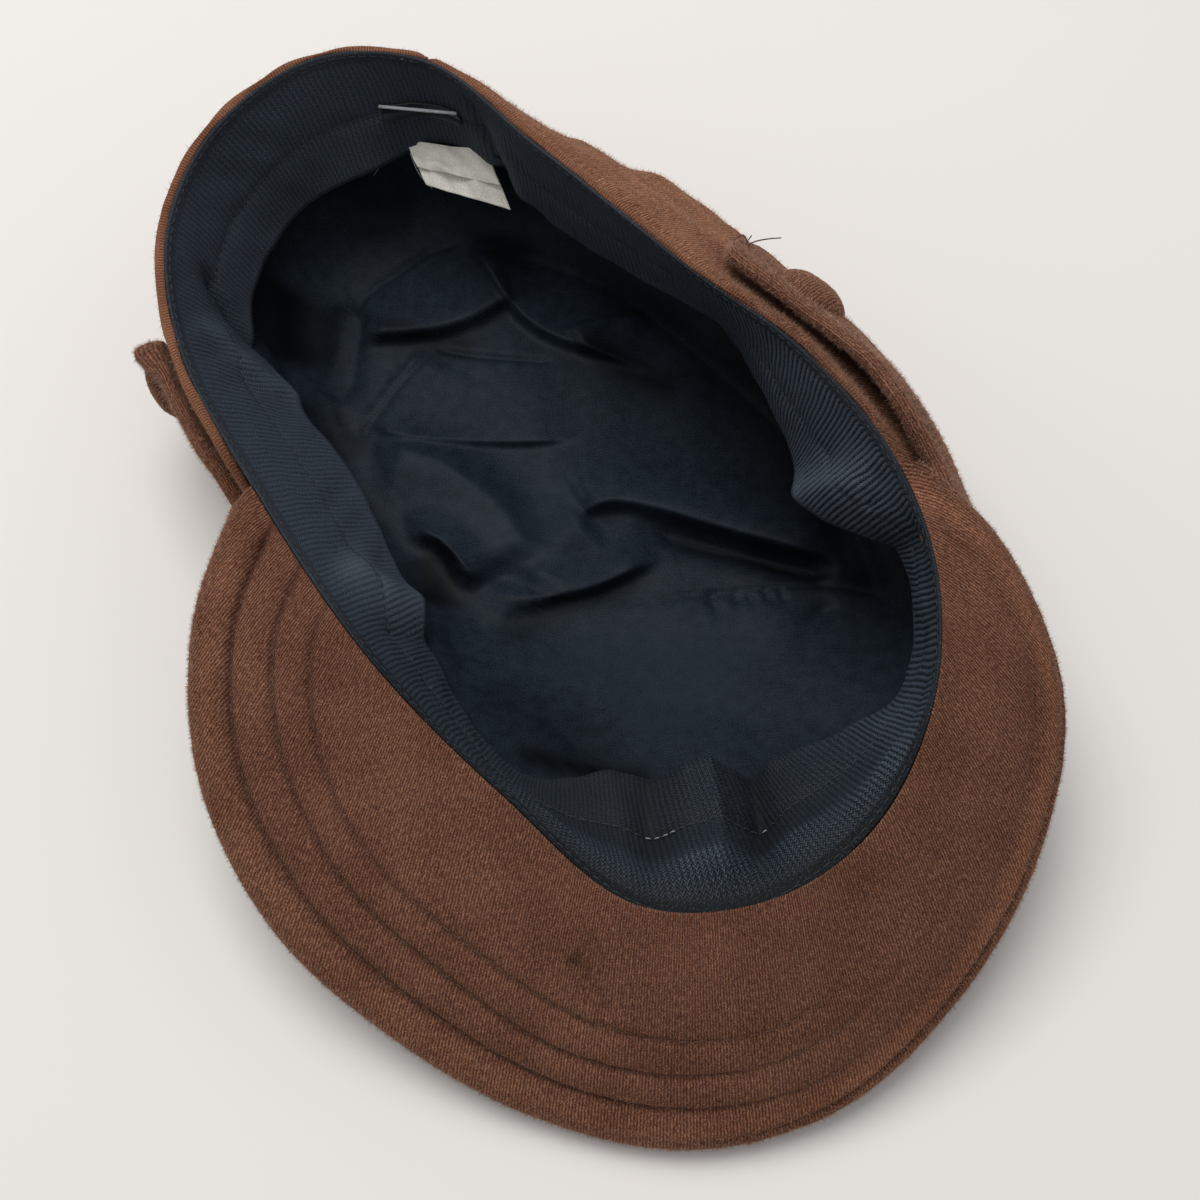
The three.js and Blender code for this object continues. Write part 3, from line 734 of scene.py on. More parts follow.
# %% Peak's board
PEAK_EDGE = [  # turn where the board is measured from, then its outer edge
    (0.262, 70, 9, 67),
    (0.290, 93, -7, 52),
    (0.325, 106, -37, 37),
    (0.362, 99, -70, 25),
    (0.405, 81, -98, 14),
    (0.440, 56, -119, 6),
    (0.480, 24, -127, 3),
    (0.515, -11, -120, 4),
    (0.560, -41, -105, 11),
    (0.615, -67, -84, 20),
    (0.660, -84, -54, 30),
    (0.700, -87, -21, 40),
    (0.726, -78, 8, 51),
]
PEAK_HALF = 2.3  # half of the board's thickness
PEAK_BOW = 2.0  # how far it bows up
PEAK_COLUMNS = 600
peak_turn = smooth_curve([(row[0], 0, 0) for row in PEAK_EDGE], closed=False)
peak_edge = smooth_curve(np.array([row[1:] for row in PEAK_EDGE]) - MIDDLE, closed=False)
along = np.linspace(0.008, 0.992, PEAK_COLUMNS)
root_turn = peak_turn(along)[:, 0]
root = rim(root_turn) + level_out(rim, root_turn) * CLEAR
edge = peak_edge(along)
reach = edge - root
depth = np.linalg.norm(reach, axis=1)
edge_steps = np.linalg.norm(np.diff(edge, axis=0), axis=1)
edge_run = np.concatenate([[0], np.cumsum(edge_steps)])
square = unit(np.cross(np.gradient(edge, axis=0), reach))
square *= np.where(square[:, 2:] < 0, -1, 1)
print("peak's edge is", round(edge_run[-1]), "mm long and its depth", round(depth.max()), "mm")


# %% Peak's flat cut
def flat_cut(shares, follow):
    """The strip laid flat. Angles at the edge's points give each step's heading. With follow less
    than one the cloth is stretched to the bend, so its ribs fan out more."""
    inwards, steps = -unit(reach), unit(np.diff(edge, axis=0))
    ahead = np.arccos(np.clip((inwards[:-1] * steps).sum(1), -1, 1))
    behind = np.arccos(np.clip(-(inwards[1:] * steps).sum(1), -1, 1))
    heading = np.concatenate([[0], np.cumsum(np.pi - behind[:-1] - ahead[1:])]) * follow
    heading = np.append(heading, heading[-1])
    heading -= heading[len(heading) // 2]
    way = np.stack([np.cos(heading), np.sin(heading)], 1)
    flat_edge = np.concatenate([[[0, 0]], np.cumsum(edge_steps[:, None] * way[:-1], axis=0)])
    lean = heading + np.append(ahead, ahead[-1])
    flat_in = np.stack([np.cos(lean), np.sin(lean)], 1)
    return flat_edge + flat_in * ((1 - shares[:, None]) * depth)[..., None], flat_edge


out = 1 - (1 - np.linspace(0, 1, 93)[:-1]) ** 1.2
marked, flat_edge = flat_cut(out, 1.0)
distance = np.stack([np.hypot(*(row[:, None] - flat_edge).transpose(2, 0, 1)).min(1) for row in marked])
print("the deepest place is", round(distance.max()), "mm from the edge")

# %% [markdown]
# The outer roll of the peak is the thickest, and stands up most on the left. On the right and in
# front the cloth is pressed flatter, and a groove close to the edge shows instead.

# %% Peak's quilting
PEAK_ROWS = [(11.2, 0.8), (20.0, 0.7), (28.5, 0.6)]  # mm from the edge, depth
PUFFS = (1.5, 0.7, 0.5)
EDGE_ROW = 3.6
STITCH = 3.0
left_share = smooth((along - 0.37) / 0.2)
raised = 0.2 + 0.8 * left_share
far_left = smooth((along - 0.72) / 0.1)
near_corner = smooth((0.32 - along) / 0.22)
edge_row = EDGE_ROW - 2.0 * near_corner
edge_depth = 0.8 - 0.65 * left_share - 0.35 * near_corner
row_shift = {11.2: -0.8 * far_left, 20.0: 0.8 * far_left, 28.5: 0.8 * far_left}
PEAK_DENTS = [  # height, widths left and right, crest in mm along the edge and from it
    (-2.4, 2, 3.5, [(243, 42), (238, 38), (231, 33), (225, 30)]),
    (1.3, 2.5, 1.6, [(246, 41), (241, 37), (235, 33), (229, 29)]),
    (0.5, 3, 2, [(250, 46), (246, 43), (240, 42), (234, 43)]),
]


def row_place(row):
    """A row's distance from the edge, all along it. No hand sews a row quite evenly."""
    return row + row_shift[row] + 0.35 * np.sin(edge_run / 23 + row)


def quilting(distance):
    """Puffs are arches between two rows, and a row is a narrow groove in a wide one."""
    marks = [0] + [row for row, deep in PEAK_ROWS]
    total = 0.0 * distance
    for inner, outer, high in zip(marks[1:], marks[:-1], PUFFS):
        arch = np.sin(np.pi * np.clip((distance - outer) / (inner - outer), 0, 1))
        total += high * raised * arch**0.8
    for row, deep in PEAK_ROWS:
        away = distance - row_place(row)
        narrow, wide = np.exp(-((away / 0.6) ** 2)), np.exp(-((away / 1.8) ** 2))
        total -= deep * raised * (1.1 * narrow + 0.5 * wide)
        puckers = ripple(edge_run, 0 * edge_run, 7, int(row))
        total += 0.16 * raised * puckers * np.exp(-((away / 1.6) ** 2))
    total -= edge_depth * np.exp(-(((distance - edge_row) / 0.7) ** 2))
    return total


share = out[:, None]
relief = quilting(distance)
relief = relief + 0.45 * ripple(edge_run, distance, 34, 4) * smooth(distance / 16)
relief = relief + folds(PEAK_DENTS, edge_run, distance) + 0.08 * ripple(edge_run, distance, 8, 9)
relief = relief * smooth(share * 6) * smooth(np.minimum(along, 1 - along) * 30)
nose = np.clip(PEAK_HALF * 1.15 / np.maximum(depth, 8), 0, 0.45)
peak_round = np.sqrt(np.clip(1 - np.clip((share - 1 + nose) / nose, 0, 1) ** 2, 0, 1))


def peak_layer(shares, lifts, relief):
    """Points at shares of the way out and lifts above the board's middle plane, which bows up.
    Near the rim up is vertical, and further out it is square to the board."""
    share, turned = shares[:, None, None], smooth(shares * 3)[:, None, None]
    up = unit(np.array([0, 0, 1]) * (1 - turned) + square * turned)
    bow = PEAK_BOW * 4 * share * (1 - share)
    lift = lifts[..., None] - PEAK_HALF * (1 - share)
    return root + reach * share + up * lift + square * (bow + relief[..., None])


top_points = peak_layer(out, PEAK_HALF * peak_round, relief)
below = out[::-5]
below_points = peak_layer(below, -PEAK_HALF * peak_round[::-5], 0 * below[:, None] * depth)
peak_points = np.concatenate([top_points, edge[None], below_points])
peak_shares = np.concatenate([out, [1], below])
print("highest relief", relief.max().round(2), "mm, lowest", relief.min().round(2), "mm")

# %% [markdown]
# The edge is paler along its crest, partly from rubbing and partly a painted highlight, and the
# grooves are darkened as painted shade. The peak's mesh is a closed loop of rows, with a face at
# each end.

# %% Peak's cloth
def to_rows(values):
    """The top's values, then the edge's own row, then those below, mirrored."""
    return np.concatenate([values, values[-1:], values[::-5]])


to_edge = to_rows(distance)
# Paler along the edge's crest: wear with a painted highlight.
crest = np.exp(-(((to_edge - 6.4) / 2.4) ** 2)) * (1 - 0.8 * left_share)
dark = 0.0 * to_edge
# Painted shade in the quilting grooves and the groove near the edge.
for row, deep in PEAK_ROWS:
    dark += 1.5 * deep * raised * np.exp(-(((to_edge - row_place(row)) / 0.65) ** 2))
dark += edge_depth * np.exp(-(((to_edge - edge_row) / 0.7) ** 2))
rolled = np.exp(-(((to_edge - 4) / 4) ** 2)) * left_share
# Wear at the very edge and on the left roll, a painted highlight on the crest, painted shade in the
# grooves.
peak_wear_and_light = 0.3 * crest + 0.12 * rolled + 0.1 * np.exp(-((to_edge / 2) ** 2)) - 0.5 * dark
peak_flat = flat_cut(peak_shares, 0.62)[0]
ring = np.arange(len(peak_points)) * PEAK_COLUMNS
peak_faces = [*loop_quads(len(peak_points), PEAK_COLUMNS), ring[::-1], ring + PEAK_COLUMNS - 1]
peak = new_piece(
    "peak_cloth", peak_points, peak_faces, moleskin, peak_flat, None, peak_wear_and_light
)
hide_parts("peak")
peak_normals = grid_normals(top_points)
peak_normals *= np.where((peak_normals * square).sum(-1, keepdims=True) < 0, -1, 1)


# %% Peak's stitches
def line_at(row):
    """A row's line on the top, between the two grid points on each side of it. Only the left part
    of a row is deep enough to show its stitches."""
    mark = row_place(row)
    k = (distance > mark).sum(0)
    here = np.nonzero((k > 2) & (k < len(out)) & (left_share > 0.05))[0]
    before, after = distance[k[here] - 1, here], distance[k[here], here]
    w = ((before - mark[here]) / (before - after))[:, None]
    line = top_points[k[here] - 1, here] * (1 - w) + top_points[k[here], here] * w
    return line, peak_normals[k[here], here]


peak_lines = [stitches(*line_at(row), STITCH, 2.2, 0.15) for row, deep in PEAK_ROWS]
tubes("peak_stitches", np.concatenate(peak_lines), 0.16, brown_thread)
edge_weight = 0.25 + 4 * np.exp(-((distance[:-1, :-1] / 3.5) ** 2))
hairs("peak_nap", top_points, peak_normals, 17000, 0.95, 11, edge_weight)

# %% [markdown]
# ## The crown
#
# The side wall is two halves of cloth, joined at the front and rear centre seams. Round the opening
# the cloth turns in over a soft roll, which is fatter on the right-hand side, where the cap is
# squeezed. One sheet makes the roll, the wall and the turned seam that it lies on.

# %% Crown side's shape
ROLL_TURNS = [0, 0.06, 0.13, 0.17, 0.22, 0.27, 0.4, 0.7, 0.76, 0.9, 0.95, 1]
ROLL_WIDTHS = [2.2, 2.8, 2.3, 1.5, 1.2, 1.5, 2.2, 2.0, 2.6, 2.6, 1.7, 2.2]
ROLL_RISE = 1.5
ROLL_START_DOWN = 1.2


def crown_side(turn, part):
    """part is 0 to 1 over the roll, a half ellipse from the ribbon's back to the wall, and 1 to 2
    down the wall, which starts as far out as the roll and draws in below it. On the right the
    roll starts behind the ribbon, and further behind where the peak pulls it down."""
    over = np.minimum(part, 1) * np.pi
    wide = np.interp(turn % 1, ROLL_TURNS, ROLL_WIDTHS)
    on_right = smooth(turn / 0.04) * smooth((0.45 - turn) / 0.1)
    behind = on_right * (1 - np.minimum(part, 1)) * (0.8 + 1.4 * np.maximum(sink(turn) - 4, 0))
    outwards = wide / 2 * (1 - np.cos(over)) + behind
    inner = rim(turn) + level_out(rim, turn) * outwards[..., None]
    inner[..., 2] += ROLL_RISE * np.sin(over) - ROLL_START_DOWN - sink(turn % 1)
    down = 0.02 + 0.98 * np.clip(part - 1, 0, 1)
    bulge = (wide - CLOTH - CLEAR) * np.exp(-(((down * WALL_HIGH - 1.6) / 4.2) ** 2))
    outer = wall(turn, down) + level_out(rim, turn) * bulge[..., None]
    return np.where(part[..., None] <= 1, inner, outer)


print("rim's roll on the right:", crown_side(np.array([0.1]), np.array([0.5])).round(1))

# %% [markdown]
# Each half is a grid of its own, tucked in where it meets the other. Its cloth is painted paler on
# the rear right, where light falls, and on the roll at the left, as painted light. Two creases on the
# rear right are paler still, and the tucked seams are darkened as painted shade.

# %% Crown side's cloth
FRONT_SEAM = 35 / 72
SEAM_GAP = 0.2
PALE_CREASE_LINES = [  # shade, widths left and right, crest in (turn, share down)
    (0.35, 1.4, 1.8, [(0.08, 0.27), (0.095, 0.28), (0.113, 0.27), (0.131, 0.23), (0.15, 0.17)]),
    (0.25, 1.2, 1.6, [(0.05, 0.05), (0.07, 0.08), (0.1, 0.13), (0.12, 0.16)]),
]
parts = np.concatenate([np.linspace(0, 1, 11), 1 + np.linspace(0, 1, 54)[1:] ** 1.15])
HALVES = [  # name, turns at its ends, grid columns, hairs
    ("right", 0.0, FRONT_SEAM, 300, 16000),
    ("left", FRONT_SEAM, 1.0, 230, 8000),
]
for half, start, stop, columns, hair_count in HALVES:
    turns = np.linspace(start + SEAM_GAP / RIM_LENGTH, stop - SEAM_GAP / RIM_LENGTH, columns)
    grid_turn, grid_part = np.broadcast_arrays(turns[None, :], parts[:, None])
    points = crown_side(grid_turn, grid_part)
    x, y = grid_turn * RIM_LENGTH, grid_part * WALL_HIGH
    nearest = np.minimum(grid_turn - start, stop - grid_turn) * RIM_LENGTH
    tuck = 0.9 * np.exp(-((nearest / 1.3) ** 2))
    points = points + grid_normals(points) * (0.3 * ripple(x, y, 15, 8) - tuck)[..., None]
    flat = np.stack([x, y], -1)
    lines = folds(on_cloth(PALE_CREASE_LINES, RIM_LENGTH, WALL_HIGH), x, (grid_part - 1) * WALL_HIGH)
    groove_shade = np.exp(-((nearest / 1.5) ** 2))
    # Painted light over the rear right up to turn 0.15, and painted shade along the tucked seams.
    wear_and_painted_light = 0.42 + lines - 0.3 * groove_shade - 0.36 * smooth((grid_turn - 0.15) / 0.04)
    # Painted light on the roll at the left.
    wear_and_painted_light = wear_and_painted_light + 0.4 * smooth((grid_turn - 0.72) / 0.04) * (grid_part < 1.05)
    name = f"crown_side_{half}"
    side = sheet_piece(f"{name}_cloth", points, flat, moleskin, 1.0, wear_and_painted_light=wear_and_painted_light)
    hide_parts(name)
    seen = (np.exp(-((grid_part / 1.5) ** 4)) + 0.08) * (0.3 + (grid_turn < 0.3) + (grid_turn > 0.72))
    hairs(f"{name}_nap", points, grid_normals(points), hair_count, 1.2, 12, seen[:-1, :-1])

# %% [markdown]
# The top panel is what the cap lies on. It is flat, with the small waves of cloth that bears the
# weight of the rest. Rings shrink from the seam to the middle, and the last one is closed.

# %% Crown top
TOP_CENTRE = np.array([8.0, 56.0, 0.0]) - MIDDLE
TOP_COLUMNS = 240
TOP_RINGS = 18
top_turns = np.arange(TOP_COLUMNS) / TOP_COLUMNS
top_line = seam(top_turns) - level_out(seam, top_turns) * (BASE_ROLL + CLEAR)
top_line[:, 2] = 0.0
shrink = np.linspace(1, 0.01, TOP_RINGS)[:, None, None]
crown_top = TOP_CENTRE + (top_line - TOP_CENTRE) * shrink
waves = np.clip(0.25 + 0.25 * ripple(crown_top[..., 0], crown_top[..., 1], 45, 3), 0.02, 0.6)
crown_top[..., 2] = waves * smooth((1 - shrink[..., 0]) * 8 + 0.15)
top_hole = np.arange((TOP_RINGS - 1) * TOP_COLUMNS, TOP_RINGS * TOP_COLUMNS)
top_faces = [*grid_quads(TOP_RINGS, TOP_COLUMNS, True), top_hole]
top_flat = crown_top[..., :2].copy()
crown_top[..., 2] += 0.1
crown_top_piece = new_piece(
    "crown_top_cloth", crown_top, top_faces, moleskin, top_flat
)
solidify = crown_top_piece.modifiers.new("thickness", "SOLIDIFY")
solidify.thickness, solidify.offset = 1.0 * MM, -1
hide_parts("crown_top")

# %% [markdown]
# ## The sweatband
#
# Grosgrain ribbon 33 mm wide runs round the inside of the opening. It is sewn on along its upper
# edge and hangs free below. Its ribs are 1.4 mm apart, and are part of the shape: a cord's rounded
# height, with a narrow gap between two. Both edges have a finely woven border with no ribs. The
# ribbon buckles where the cap is squeezed, most of all in front.

# %% Sweatband
RIB_SAMPLES = 5
RIB_HIGH = 0.42
BAND_FOLDS = [  # height, widths left and right, crest in (turn, share down)
    (4.6, 2.2, 6, [(0.469, 0.1), (0.459, 0.6), (0.449, 1.4)]),
    (1.6, 4, 4, [(0.483, 0.1), (0.473, 0.6), (0.463, 1.4)]),
    (-5.5, 6, 2.8, [(0.457, 0.1), (0.444, 0.62), (0.431, 1.4)]),
    (-2.8, 5, 4.5, [(0.497, 0.1), (0.49, 0.6), (0.481, 1.4)]),
    (1.0, 5, 6, [(0.503, 0.3), (0.508, 1.4)]),
    (3.0, 4, 2.6, [(0.6, 0.16), (0.53, 0.23), (0.47, 0.27), (0.43, 0.27), (0.39, 0.2), (0.34, 0.14)]),
    (-1.0, 2.2, 2.2, [(0.58, 0.5), (0.5, 0.55), (0.44, 0.55), (0.38, 0.45)]),
    (-0.9, 1.5, 1.5, [(0.37, 0.14), (0.3, 0.15), (0.2, 0.16)]),
    (-1.8, 2, 6, [(0.017, 0.1), (0.024, 0.6), (0.034, 1.4)]),
    (1.0, 6, 4, [(0.038, 0.2), (0.049, 1.4)]),
    (-2.6, 5, 3.5, [(0.85, 0.4), (0.83, 0.8), (0.805, 1.3)]),
    (2.2, 3, 5, [(0.815, 0.3), (0.795, 0.7), (0.77, 1.3)]),
    (4.6, 6, 6, [(0.685, 0.3), (0.662, 0.75), (0.645, 1.4)]),
    (-1.2, 3, 3, [(0.65, 0.45), (0.643, 0.8), (0.634, 1.3)]),
    (-0.45, 0.7, 0.7, [(0.84, 0.38), (0.75, 0.38), (0.66, 0.4)]),
    (-0.35, 0.6, 0.6, [(0.83, 0.64), (0.75, 0.66), (0.68, 0.64)]),
    (-0.3, 0.6, 0.6, [(0.82, 0.76), (0.75, 0.78), (0.69, 0.76)]),
    (-2.2, 6, 4, [(0.292, 0.1), (0.292, 0.6), (0.29, 1.4)]),
    (-2.2, 1.5, 3, [(0.258, 0.2), (0.266, 0.4), (0.274, 0.55)]),
    (3.6, 5, 8, [(0.268, 0.2), (0.252, 0.7), (0.235, 1.4)]),
    (1.0, 6, 6, [(0.318, 0.3), (0.318, 1.4)]),
    (1.8, 8, 8, [(0.367, 0.3), (0.381, 1.4)]),
]
HEM_ROW, BAND_ROW = 0.035, 0.57  # the stitch rows' shares down
FRONT_LIP = 0.472, 0.034, 2.4, 1.6  # turn, width as a turn, mm outwards, mm down


def band(turn, down):
    """The ribbon runs straight from the rim to its own free edge. Folds above zero move it along
    its own normal, into the opening. In front its upper edge leans out as a lip."""
    turn, down = np.broadcast_arrays(turn, down)
    x, y = turn % 1 * RIM_LENGTH, down * BAND_WIDE
    near_seam = np.minimum(1, 40 * np.minimum(turn % 1, 1 - turn % 1))
    bend = 0.35 * ripple(x, y, 22, 41) * smooth(down * 4) - 0.9 * np.exp(-(((down - 0.13) / 0.08) ** 2))
    turn = turn + bend / RIM_LENGTH * near_seam
    straight = rim(turn) + (band_edge(turn) - rim(turn)) * down[..., None]
    inwards = unit(np.cross(band_edge(turn) - rim(turn), rim(turn + 0.004) - rim(turn - 0.004)))
    lip_turn, lip_wide, lip_out, lip_drop = FRONT_LIP
    lip = np.exp(-(((turn % 1 - lip_turn) / lip_wide) ** 2)) * np.clip(1 - down * 5, 0, 1)
    straight = straight + (level_out(rim, turn) * lip_out - [0, 0, lip_drop]) * lip[..., None]
    fold = folds(on_cloth(BAND_FOLDS, RIM_LENGTH, BAND_WIDE), x, y)
    fold = fold + (0.4 * ripple(x, y, 30, 12) + 0.25 * ripple(x, y, 9, 14)) * near_seam
    fold = fold - 0.35 * np.exp(-(((y - BAND_ROW * BAND_WIDE) / 0.8) ** 2))
    return straight + inwards * (fold * smooth(down * 4))[..., None]


BORDER_DOWNS = [0, 0.02, 0.045, 0.065, 0.1], [0.86, 0.94, 0.96, 1]
RIBBED_DOWNS = [0.2, 0.3, 0.4, 0.5, 0.55, BAND_ROW, 0.59, 0.65, 0.75]
band_downs = np.array([*BORDER_DOWNS[0], *RIBBED_DOWNS, *BORDER_DOWNS[1]])
band_turns = np.arange(RIBS * RIB_SAMPLES) / (RIBS * RIB_SAMPLES)
band_points = band(band_turns[None, :], band_downs[:, None])
in_rib = np.arange(RIBS * RIB_SAMPLES) % RIB_SAMPLES / RIB_SAMPLES
in_front = np.exp(-(((band_turns - 0.48) / 0.1) ** 4))
at_left = smooth((band_turns - 0.62) / 0.06) * smooth((0.9 - band_turns) / 0.06)
at_right = smooth((band_turns - 0.14) / 0.06) * smooth((0.43 - band_turns) / 0.06)
at_rear = smooth((0.17 - np.minimum(band_turns, 1 - band_turns)) / 0.05)
gap = np.abs(2 * in_rib - 1) ** 2.5
flatter = 0.24 * in_front + 0.15 * at_left + 0.15 * at_rear
rib_height = (RIB_HIGH + 0.2 * at_right - flatter) * (1 - gap)
ribbed = smooth((band_downs - 0.07) / 0.03) * smooth((0.965 - band_downs) / 0.02)
uneven = 0.8 + 0.3 * ripple(band_turns * RIM_LENGTH, band_downs[:, None] * BAND_WIDE, 5, 17)
band_relief = ribbed[:, None] * rib_height * uneven + 0.25 * (1 - ribbed[:, None])
band_points = band_points - grid_normals(band_points, True) * band_relief[..., None]
band_run = band_turns * RIM_LENGTH, band_downs[:, None] * BAND_WIDE
dent = folds(on_cloth(BAND_FOLDS, RIM_LENGTH, BAND_WIDE), *band_run)
# The crest in front, where a painted highlight runs.
lit_crest = in_front * np.exp(-(((band_downs[:, None] - 0.26) / 0.08) ** 2))
# Painted light at the left, the right and the rear, and painted shade in front.
band_painted_light = 0.17 * at_left + 0.1 * at_right + 0.17 * at_rear - 0.52 * in_front
# Painted raking light on the ribs, strongest on the right and along the front crest: pale crests, dark
# gaps.
shown = 0.12 + 0.65 * at_right + 0.5 * lit_crest
band_painted_light = band_painted_light + (0.25 - 0.75 * gap) * shown * ribbed[:, None]
# Painted highlights on the fold crests, painted shade in the valleys, and the front crest's painted
# highlight.
band_painted_light = band_painted_light + 0.055 * np.clip(dent, -9, 4) + 0.42 * lit_crest
flat_turns = np.arange(RIBS * RIB_SAMPLES + 1) / (RIBS * RIB_SAMPLES) * RIM_LENGTH
band_flat = np.stack(np.broadcast_arrays(flat_turns[None, :], band_downs[:, None] * BAND_WIDE), -1)
sweatband = sheet_piece(
    "sweatband_ribbon", band_points, band_flat, grosgrain, 0.7,
    wrap=True, facing=-1, wear_and_painted_light=band_painted_light,
)
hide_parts("sweatband")


# %% Sweatband's stitches
def band_line(start, stop, down, lift, count=600):
    """A line along the ribbon at one share down, lifted off its face."""
    turn = np.linspace(start, stop, count)[None, :]
    near = band(np.repeat(turn, 3, 0), np.array([down - 0.01, down, down + 0.01])[:, None])
    face = -grid_normals(near)[1]
    return near[1] + face * lift, face


navy_rows = [
    stitches(*band_line(0, 0.999, down, 0.3), 2.6, 1.9, 0.25) for down in (HEM_ROW, BAND_ROW)
]
tubes("sweatband_stitches", np.concatenate(navy_rows), 0.13, navy_thread)
PALE_ROWS = [(0.478, 0.494), (0.44, 0.447)]  # turns from and to
pale_rows = [
    stitches(*band_line(start, stop, BAND_ROW, 0.42, 80), 2.0, 1.2, 0.25) for start, stop in PALE_ROWS
]
tubes("sweatband_pale_stitches", np.concatenate(pale_rows), 0.14, grey_thread)

# %% [markdown]
# ## The lining
#
# One bag of sateen lines the wall and the top. It is cut a little too large, so that it never
# strains, and falls into folds when the cap lies on its crown. The sheet follows the wall down from
# behind the sweatband, bends on to the top panel and runs to the middle. Where a fold lies over, it
# is steep on one side and has a groove at its foot. Painted shade darkens the hollows and grooves,
# and painted light the crests. The seam between wall and top is gathered.

# %% Lining
LINING_FOLDS = [  # height, widths left and right, crest in (x, y) as seen from above
    (4, 11, 1.8, [(-62, 79), (-55, 80), (-47, 80.5), (-37, 82.5), (-29, 86), (-23, 90), (-18, 92)]),
    (-0.9, 0.9, 0.9, [(-65, 87), (-58, 94), (-51, 100), (-43, 107), (-37, 109.5), (-33, 112)]),
    (
        3.2, 9, 1.6,
        [(-32, 110), (-28, 104), (-24, 97), (-21, 92), (-15, 84.5), (-8, 79.5), (4, 74.5), (21, 69)],
    ),
    (1.5, 1.5, 6, [(-5, 79.5), (-1, 81.5), (4, 84), (10, 85.5), (18, 86.5)]),
    (-0.9, 0.8, 0.8, [(-41, 76), (-44, 71), (-49, 64), (-53, 57), (-57, 51), (-59, 45)]),
    (0.9, 12, 1, [(-43, 76), (-46, 71), (-51, 64), (-55, 57), (-58, 51)]),
    (-0.9, 0.8, 0.8, [(-67, 67), (-65, 61), (-62, 53), (-59, 46)]),
    (1.6, 14, 1.2, [(-56, 51.5), (-48, 49.5), (-35, 48), (-17, 47.5), (0, 48.5)]),
    (-0.8, 1, 1, [(-41, 76), (-31, 74), (-17, 72.5), (-7, 72)]),
    (5, 5, 14, [(-57, 45.5), (-47, 44), (-37, 40.5), (-28, 34), (-21, 27.5), (-16, 18.5), (-13, 10.5)]),
    (3, 8, 7, [(-13, 5), (-9, 14), (-4, 21), (2, 26)]),
    (5, 13, 2, [(-4, 25), (2, 28.5), (8, 30), (18, 28), (30, 24), (44, 19.5), (56, 16), (67, 13)]),
    (-3, 3, 3.5, [(11, 25), (26, 20), (42, 15.5), (54, 12), (64, 10)]),
    (4, 8, 1.6, [(-28, -8), (-21, -3), (-13, 1), (-6, 3.5), (4, 7), (12, 11), (20, 15)]),
    (5.5, 7, 1.8, [(-46, 18), (-40, 19), (-36, 18), (-33, 15), (-30, 9), (-26, 3)]),
    (5.5, 8, 3, [(-37, -11), (-29, -13), (-20, -18), (-13, -20), (-4, -21), (4, -26), (13, -34)]),
    (-3.2, 4, 3, [(-33, -8), (-24, -9), (-16, -12)]),
    (-2.5, 2, 2, [(-5, -11), (0, -18), (4, -24), (8, -29)]),
    (-3, 3, 3, [(-16, -39), (-5, -41), (4, -41), (15, -39)]),
    (2.4, 3, 6, [(18, -21), (17, -30), (17, -40)]),
    (-1, 0.9, 0.9, [(32, 6), (32, 2), (34, -2)]),
    (-0.8, 0.9, 0.9, [(38, 5), (38, 1)]),
    (-0.8, 0.9, 0.9, [(41, 4.5), (42, 0.5)]),
    (-0.8, 0.9, 0.9, [(45, 6), (46, 2)]),
    (-0.8, 0.9, 0.9, [(49, 6), (50, 2)]),
    (-0.5, 0.8, 0.8, [(14, 1), (24, 3.5), (34, 4.5), (46, 6), (61, 6.5), (80, 2)]),
    (-1.2, 2, 2, [(63, 3), (57, -3), (52, -11), (50, -21)]),
    (-5, 5, 4, [(-64, 92), (-64, 83), (-65, 75), (-66, 67), (-69, 60)]),
    (-2.5, 3, 3, [(-77, 88), (-76, 76), (-73, 64), (-71, 56)]),
    (1.6, 8, 8, [(28, -14), (27, -26), (25, -38)]),
]
# Painted shade where the first value is below zero, painted light where it is above.
PAINTED_LINING_SHADE = [  # shade, widths left and right, crest in (x, y)
    (-0.9, 10, 10, [(-77, 92), (-79, 79), (-75, 65)]),
    (-0.5, 8, 8, [(-25, 110), (-22, 98), (-18, 88)]),
    (-0.4, 14, 14, [(-71, 115), (-58, 125), (-47, 128)]),
    (-0.8, 5, 4, [(-4, 80), (9, 71), (27, 61)]),
    (-0.8, 3, 5, [(-57, 84), (-42, 79), (-27, 77)]),
    (-0.9, 7, 7, [(-40, 16), (-36, 8), (-38, -3)]),
    (-0.45, 5, 4, [(-23, -11), (-6, -1), (18, 9)]),
    (-0.7, 5, 5, [(14, 25), (39, 16), (61, 9), (80, 8)]),
    (-0.3, 8, 8, [(-27, -24), (-11, -34), (13, -38)]),
    (-0.9, 3, 3, [(-18, -44), (1, -47), (19, -48)]),
    (-0.5, 14, 14, [(31, 82), (46, 60), (55, 36), (70, 19)]),
    (-0.5, 8, 8, [(-75, 60), (-66, 48), (-59, 39)]),
    (0.15, 12, 12, [(-41, 60), (-28, 63), (-7, 60)]),
    (0.25, 7, 10, [(-26, 14), (-14, 25), (-1, 39)]),
    (0.3, 6, 3, [(6, 29), (27, 22), (44, 16)]),
    (0.2, 5, 5, [(-6, 3), (14, 14)]),
    (0.3, 9, 9, [(-12, -14), (10, -11), (33, -10), (50, -8)]),
    (0.25, 12, 12, [(5, -28), (25, -26), (42, -22)]),
]
LINING_COLUMNS = 380
SIDE_ROWS, FLOOR_ROWS = 22, 82
FLOOR_HIGH = 3.4  # mm from the bag's floor to the ground
REST_LIFT = 1.6
LEAN = 0.4  # how far a fold lies over, as a share of its height
lining_turns = np.arange(LINING_COLUMNS) / LINING_COLUMNS
side_downs = np.linspace(0.07, 0.86, SIDE_ROWS)[:, None]
lining_wall = wall(lining_turns[None, :], side_downs)
behind = 1.8 + 2.2 * smooth((side_downs - 0.1) / 0.3)
